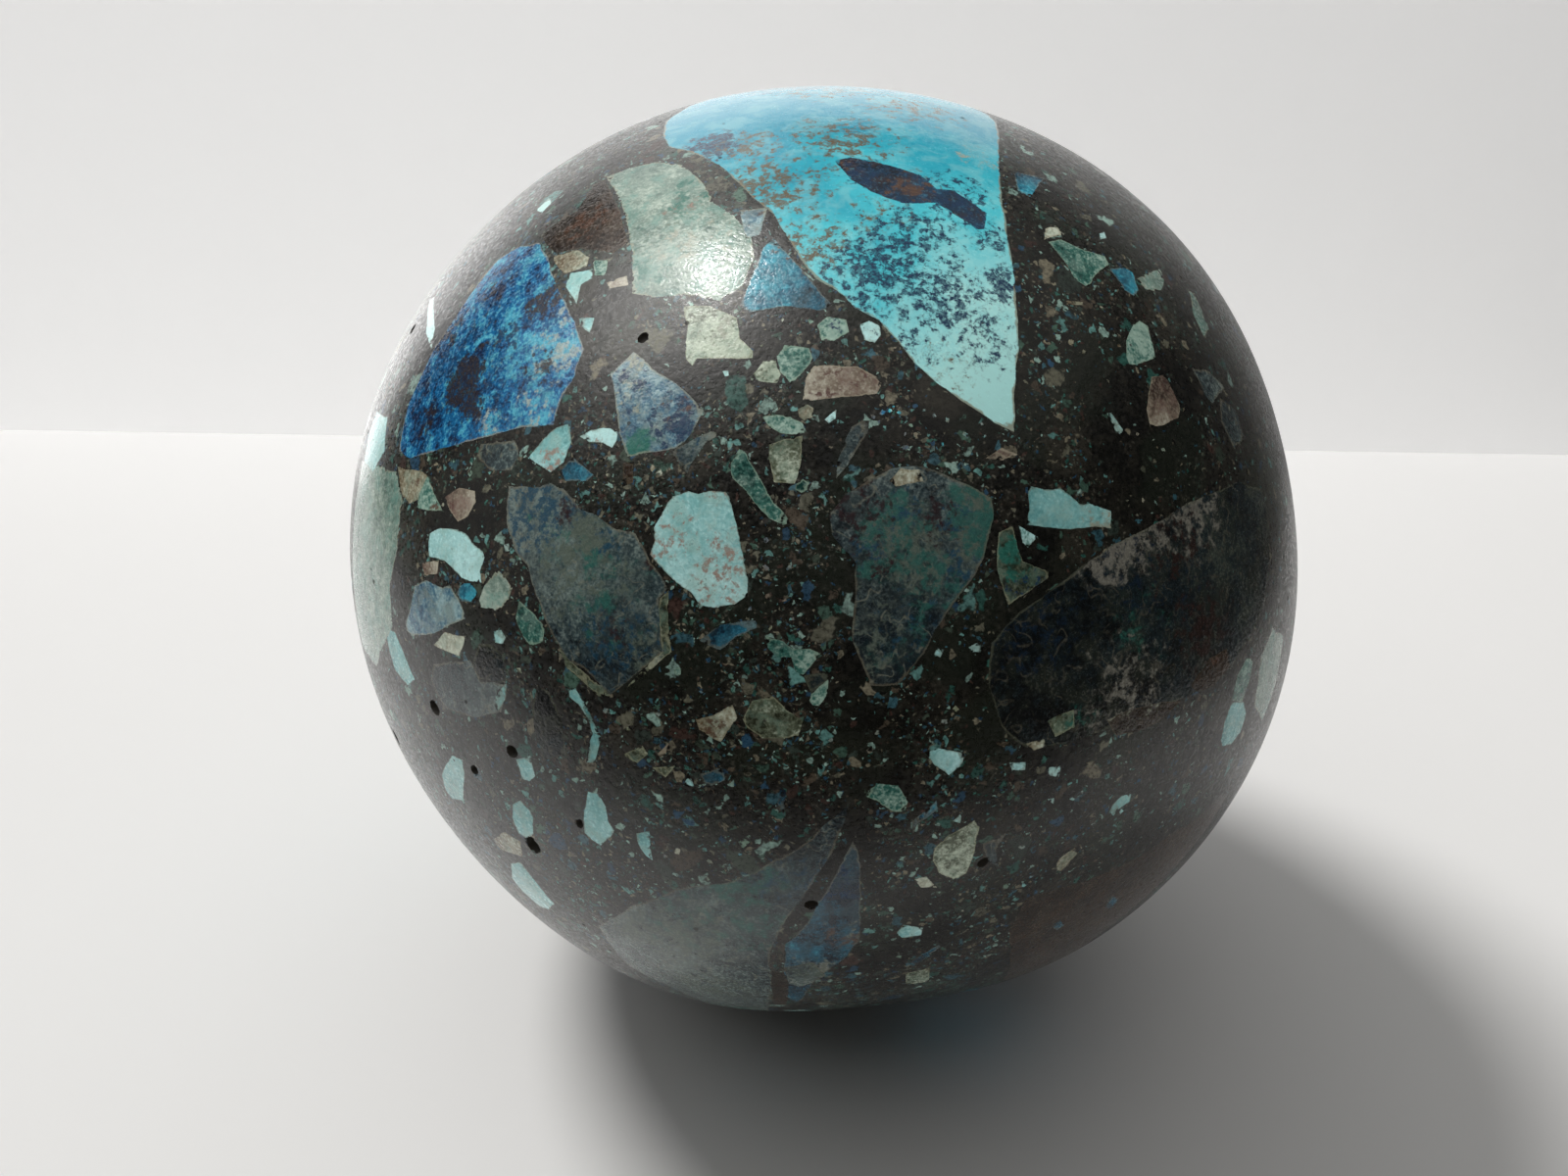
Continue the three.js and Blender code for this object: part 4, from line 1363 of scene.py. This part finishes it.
def makeRock():
    material = newMaterial("rock")
    tree = material.node_tree
    place = stonePlace(tree)
    grain = noiseAt(tree, place, rock["grainSize"], 2.0, 0.65)
    mottle = noiseAt(tree, place, rock["mottleSize"], 2.0, 0.6)
    patches = noiseAt(tree, place, rock["patchSize"], 2.0, 0.55, 0.3)
    tint = noiseAt(tree, vectorMaths(tree, "ADD", place, rock["tintPlace"]), rock["tintSize"], 1.0)
    lightness = maths(tree, "ADD", step(tree, mottle, 0.3, 0.75), centred(tree, grain, 1.6))
    lightness = maths(tree, "ADD", lightness, centred(tree, patches, 1.8), clamp=True)
    color = mixColors(tree, lightness, rock["dark"], rock["light"])
    color = mixColors(tree, step(tree, tint, 0.5, 0.62), color, mixColors(tree, 0.5, color, rock["green"]))
    pebbles = addNode(tree, "ShaderNodeTexVoronoi", {"Vector": place, "Scale": rock["pebblesPerMm"]}).outputs
    chosen = addNode(tree, "ShaderNodeSeparateColor", {0: pebbles["Color"]}).outputs[0]
    chosen = maths(tree, "GREATER_THAN", chosen, rock["pebbleChance"])
    apart = maths(tree, "ADD", pebbles["Distance"], centred(tree, mottle, 0.5))
    chosen = times(tree, chosen, oneMinus(tree, step(tree, apart, 0.35, 0.5)))
    color = mixColors(tree, times(tree, chosen, grain), color, rock["pebble"])
    dust = times(tree, step(tree, grain, 0.60, 0.74), step(tree, patches, 0.34, 0.64))
    color = mixColors(tree, dust, color, rock["dustColor"])
    wander = addNode(tree, "ShaderNodeTexNoise", {"Vector": place, "Scale": 2.0, "Detail": 2.0}).outputs[1]
    wander = vectorMaths(tree, "MULTIPLY", vectorMaths(tree, "SUBTRACT", wander, (0.5,) * 3), (0.6,) * 3)
    density = maths(tree, "MULTIPLY_ADD", step(tree, patches, 0.34, 0.62), 1.5, 0.2)
    x = addNode(tree, "ShaderNodeSeparateXYZ", {0: place}).outputs[0]
    sparse = times(tree, step(tree, x, *rock["sparseAcross"]), rock["sparse"])
    density = times(tree, density, oneMinus(tree, sparse))
    shared = {"Density": density, "Grain": grain, "Place": vectorMaths(tree, "ADD", place, wander)}
    for crumb in rock["crumbs"]:
        color = addGroup(tree, crumbs, {"Base": color, **shared, **crumb}).outputs["Color"]
    finishSurface(material, color, grain, surface["rockRoughness"], surface["rockRelief"])
    return material


def makePitDirt():
    material = newMaterial("pitDirt")
    tree = material.node_tree
    dust = noiseAt(tree, stonePlace(tree), 0.2, 3.0)
    color = mixColors(tree, dust, rock["pitColor"], rock["light"])
    shader = tree.nodes["Principled BSDF"]
    tree.links.new(color, shader.inputs["Base Color"])
    shader.inputs["Roughness"].default_value = surface["pitRoughness"]
    return material


made = {"rock": makeRock(), "pitDirt": makePitDirt()}
for name in slots:
    ballMesh.materials.append(made[name] if name in made else makeMineral(name))
print(len(slots), "finishes made")

# A white table and a low white board behind it. The reflections in the ball show that both end not
# far off, in a dark room; mm where not said otherwise.
stage = {
    "tableSize": 3000,
    "tableColor": (0.80, 0.80, 0.80, 1),
    "whiteLeft": -170,
    "whiteRight": 105,
    "whiteFront": -70,
    "whiteSoftness": 14,
    "frontSoftness": 26,
    "boardLeft": (-122, 88),
    "boardRight": (170, 76),
    "boardHeight": 108,
    "boardColor": (0.76, 0.755, 0.75, 1),
    "boardGlow": 0.61,       # painted light: the board glows as if lit from the front, and more so towards its top
    "topGlow": 0.20,
    # painted shade: the board's glow weakens towards the right
    "rightShade": 0.16,
    "rightShadeAcross": (-60, 170),
    "tableShade": 0.1,       # painted shade: share by which the table is darker on the right
    "middleGlow": 1.05,      # painted reflection: how much brighter the ball sees the middle of the board
    "middleGlowFrom": (-80, -25),
    "middleGlowTo": (-5, 55),
    "leftGlow": 2.5,         # and its lower left
    "leftGlowAcross": (-75, -40),
    "leftGlowUpTo": (56, 106),
    "reflectedShadeAcross": (30, 125),  # painted shade in the reflections: where the ball sees the board go dark on the right
    "tableGlow": 0.42,       # painted reflection: how much brighter the ball sees the table left of it
    "tableGlowFrom": (-2, -46),
    "roomColor": (0.035, 0.03, 0.025, 1),
    "roughness": 0.9,
    "specular": 0.2,
}


def flatPiece(name, corners, color):
    mesh = bpy.data.meshes.new(name)
    shape = bmesh.new()
    shape.faces.new([shape.verts.new(Vector(corner) * mm) for corner in corners])
    shape.to_mesh(mesh)
    shape.free()
    piece = bpy.data.objects.new(name, mesh)
    bpy.context.collection.objects.link(piece)
    material = newMaterial(name)
    shader = material.node_tree.nodes["Principled BSDF"]
    shader.inputs["Base Color"].default_value = color
    shader.inputs["Roughness"].default_value = stage["roughness"]
    shader.inputs["Specular IOR Level"].default_value = stage["specular"]
    mesh.materials.append(material)
    return piece


half = stage["tableSize"] / 2
table = flatPiece("table", [(-half, -half, 0), (half, -half, 0), (half, half, 0), (-half, half, 0)],
                  stage["tableColor"])
(leftX, leftY), (rightX, rightY) = stage["boardLeft"], stage["boardRight"]
top = stage["boardHeight"]
board = flatPiece("backBoard", [(leftX, leftY, 0), (rightX, rightY, 0), (rightX, rightY, top),
                                (leftX, leftY, top)], stage["boardColor"])
board.visible_shadow = False

# The ball sees the table white near it and dark further off: past these edges the table is painted the room's
# dark colour for every ray but the camera's, a painted darkness for the reflections and the light thrown back
tree = table.data.materials[0].node_tree
x, y = addNode(tree, "ShaderNodeSeparateXYZ", {0: stonePlace(tree)}).outputs[:2]
soft = stage["whiteSoftness"]
front, frontSoft = stage["whiteFront"], stage["frontSoftness"]
white = times(tree, step(tree, x, stage["whiteLeft"] - soft, stage["whiteLeft"] + soft),
              step(tree, y, front - frontSoft, front + frontSoft))
fromRight = step(tree, x, stage["whiteRight"] - soft, stage["whiteRight"] + soft)
white = times(tree, white, oneMinus(tree, fromRight))
rays = addNode(tree, "ShaderNodeLightPath").outputs
shader = tree.nodes["Principled BSDF"]
# Painted reflection: for glossy rays the white table glows left of the ball
glow = oneMinus(tree, step(tree, x, stage["tableGlowFrom"][1], stage["tableGlowFrom"][0]))
glow = times(tree, times(tree, glow, white), rays["Is Glossy Ray"])
shader.inputs["Emission Color"].default_value = stage["tableColor"]
tree.links.new(times(tree, glow, stage["tableGlow"]), shader.inputs["Emission Strength"])
white = maths(tree, "MAXIMUM", white, rays["Is Camera Ray"])
# Painted shade: the table darkens towards the right
shade = maths(tree, "MULTIPLY_ADD", step(tree, x, 0, stage["boardRight"][0]), -stage["tableShade"], 1.0)
white = times(tree, white, shade)
tree.links.new(mixColors(tree, white, stage["roomColor"], stage["tableColor"]), shader.inputs["Base Color"])

# Seen from behind, the board is left out, so that it hides nothing in the other views
tree = board.data.materials[0].node_tree
shader = tree.nodes["Principled BSDF"]
shader.inputs["Emission Color"].default_value = stage["boardColor"]
rays = addNode(tree, "ShaderNodeLightPath").outputs
x, _, z = addNode(tree, "ShaderNodeSeparateXYZ", {0: stonePlace(tree)}).outputs
# Painted reflections: for glossy rays the board glows brighter in its middle and at its lower left
middle = oneMinus(tree, step(tree, x, *stage["middleGlowTo"]))
middle = times(tree, middle, step(tree, x, *stage["middleGlowFrom"]))
left = oneMinus(tree, step(tree, x, *stage["leftGlowAcross"]))
low = oneMinus(tree, step(tree, z, *stage["leftGlowUpTo"]))
left = times(tree, times(tree, left, low), stage["leftGlow"])
glow = maths(tree, "MULTIPLY_ADD", middle, stage["middleGlow"], left)
# Painted light: the board glows for every ray, more towards its top and less towards the right
glow = maths(tree, "MULTIPLY_ADD", glow, rays["Is Glossy Ray"], stage["boardGlow"])
glow = maths(tree, "MULTIPLY_ADD", z, stage["topGlow"] / stage["boardHeight"], glow)
glow = maths(tree, "MULTIPLY_ADD", step(tree, x, *stage["rightShadeAcross"]), -stage["rightShade"], glow)
# Painted shade: glossy rays see the board go dark on the right
dark = times(tree, step(tree, x, *stage["reflectedShadeAcross"]), rays["Is Glossy Ray"])
glow = times(tree, glow, oneMinus(tree, dark))
tree.links.new(glow, shader.inputs["Emission Strength"])
behind = addNode(tree, "ShaderNodeNewGeometry").outputs["Backfacing"]
behind = times(tree, behind, rays["Is Camera Ray"])
clear = addNode(tree, "ShaderNodeBsdfTransparent")
mixed = addNode(tree, "ShaderNodeMixShader", {0: behind, 1: shader.outputs[0], 2: clear.outputs[0]})
tree.links.new(mixed.outputs[0], tree.nodes["Material Output"].inputs["Surface"])
print("stage set")

# Some lamps light the surfaces: a key from the upper left and a little behind, a soft one from above
# and a fill from the front, which lights the ball alone so that its shadow on the table stays dark.
# The others show only in the polish, as the highlight and the haze round it.
light = {
    "surfaceLamps": [         # direction, strength and degrees across
        ("keyLamp", (-0.46, 0.38, 0.80), 2.45, 18),
        ("softLamp", (-0.20, 0.20, 0.96), 0.88, 98),
        ("fillLamp", (0.15, -0.80, 0.58), 0.9, 64),
    ],
    "polishLamps": [
        ("highlightLamp", (-0.325, 0.185, 0.93), 0.7, 7),
        ("hazeLamp", (-0.49, 0.11, 0.865), 1.2, 36),
        ("wideHazeLamp", (-0.50, 0.10, 0.86), 0.6, 66),
        ("backHazeLamp", (-0.27, 0.75, 0.60), 0.23, 26),
        ("ceilingHazeLamp", (0.25, 0.08, 0.965), 0.33, 78),
        ("lowHazeLamp", (-0.97, -0.12, 0.14), 0.1, 40),
    ],
    "onBallAlone": ["fillLamp"],
    "color": (1.0, 0.985, 0.96),
    "roomReflected": (0.03, 0.03, 0.03, 1),
    "roomAround": (0.04, 0.0385, 0.036, 1),
    "roomForCamera": (0.78, 0.78, 0.775, 1),
}


def addLamp(name, towards, strength, apparentSize):
    lampData = bpy.data.lights.new(name, "SUN")
    lampData.energy = strength
    lampData.angle = math.radians(apparentSize)
    lampData.color = light["color"]
    lamp = bpy.data.objects.new(name, lampData)
    bpy.context.collection.objects.link(lamp)
    lamp.rotation_mode = "QUATERNION"
    lamp.rotation_quaternion = Vector(towards).to_track_quat("Z", "Y")
    return lamp


ballAlone = bpy.data.collections.new("ballAlone")
ballAlone.objects.link(stoneBall)
for settings in light["surfaceLamps"]:
    lamp = addLamp(*settings)
    lamp.visible_glossy = False
    if lamp.name in light["onBallAlone"]:
        lamp.light_linking.receiver_collection = ballAlone
for settings in light["polishLamps"]:
    addLamp(*settings).visible_diffuse = False

world = bpy.data.worlds.new("room")
world.use_nodes = True
bpy.context.scene.world = world
tree = world.node_tree
around = tree.nodes["Background"]
around.inputs["Color"].default_value = light["roomAround"]
reflected = addNode(tree, "ShaderNodeBackground", {"Color": light["roomReflected"]})
seen = addNode(tree, "ShaderNodeBackground", {"Color": light["roomForCamera"]})
rays = addNode(tree, "ShaderNodeLightPath").outputs
mixed = addNode(tree, "ShaderNodeMixShader", {0: rays["Is Glossy Ray"], 1: around.outputs[0],
                                             2: reflected.outputs[0]})
mixed = addNode(tree, "ShaderNodeMixShader", {0: rays["Is Camera Ray"], 1: mixed.outputs[0],
                                             2: seen.outputs[0]})
tree.links.new(mixed.outputs[0], tree.nodes["World Output"].inputs["Surface"])
bpy.context.scene.view_settings.view_transform = "Standard"
print("light set")
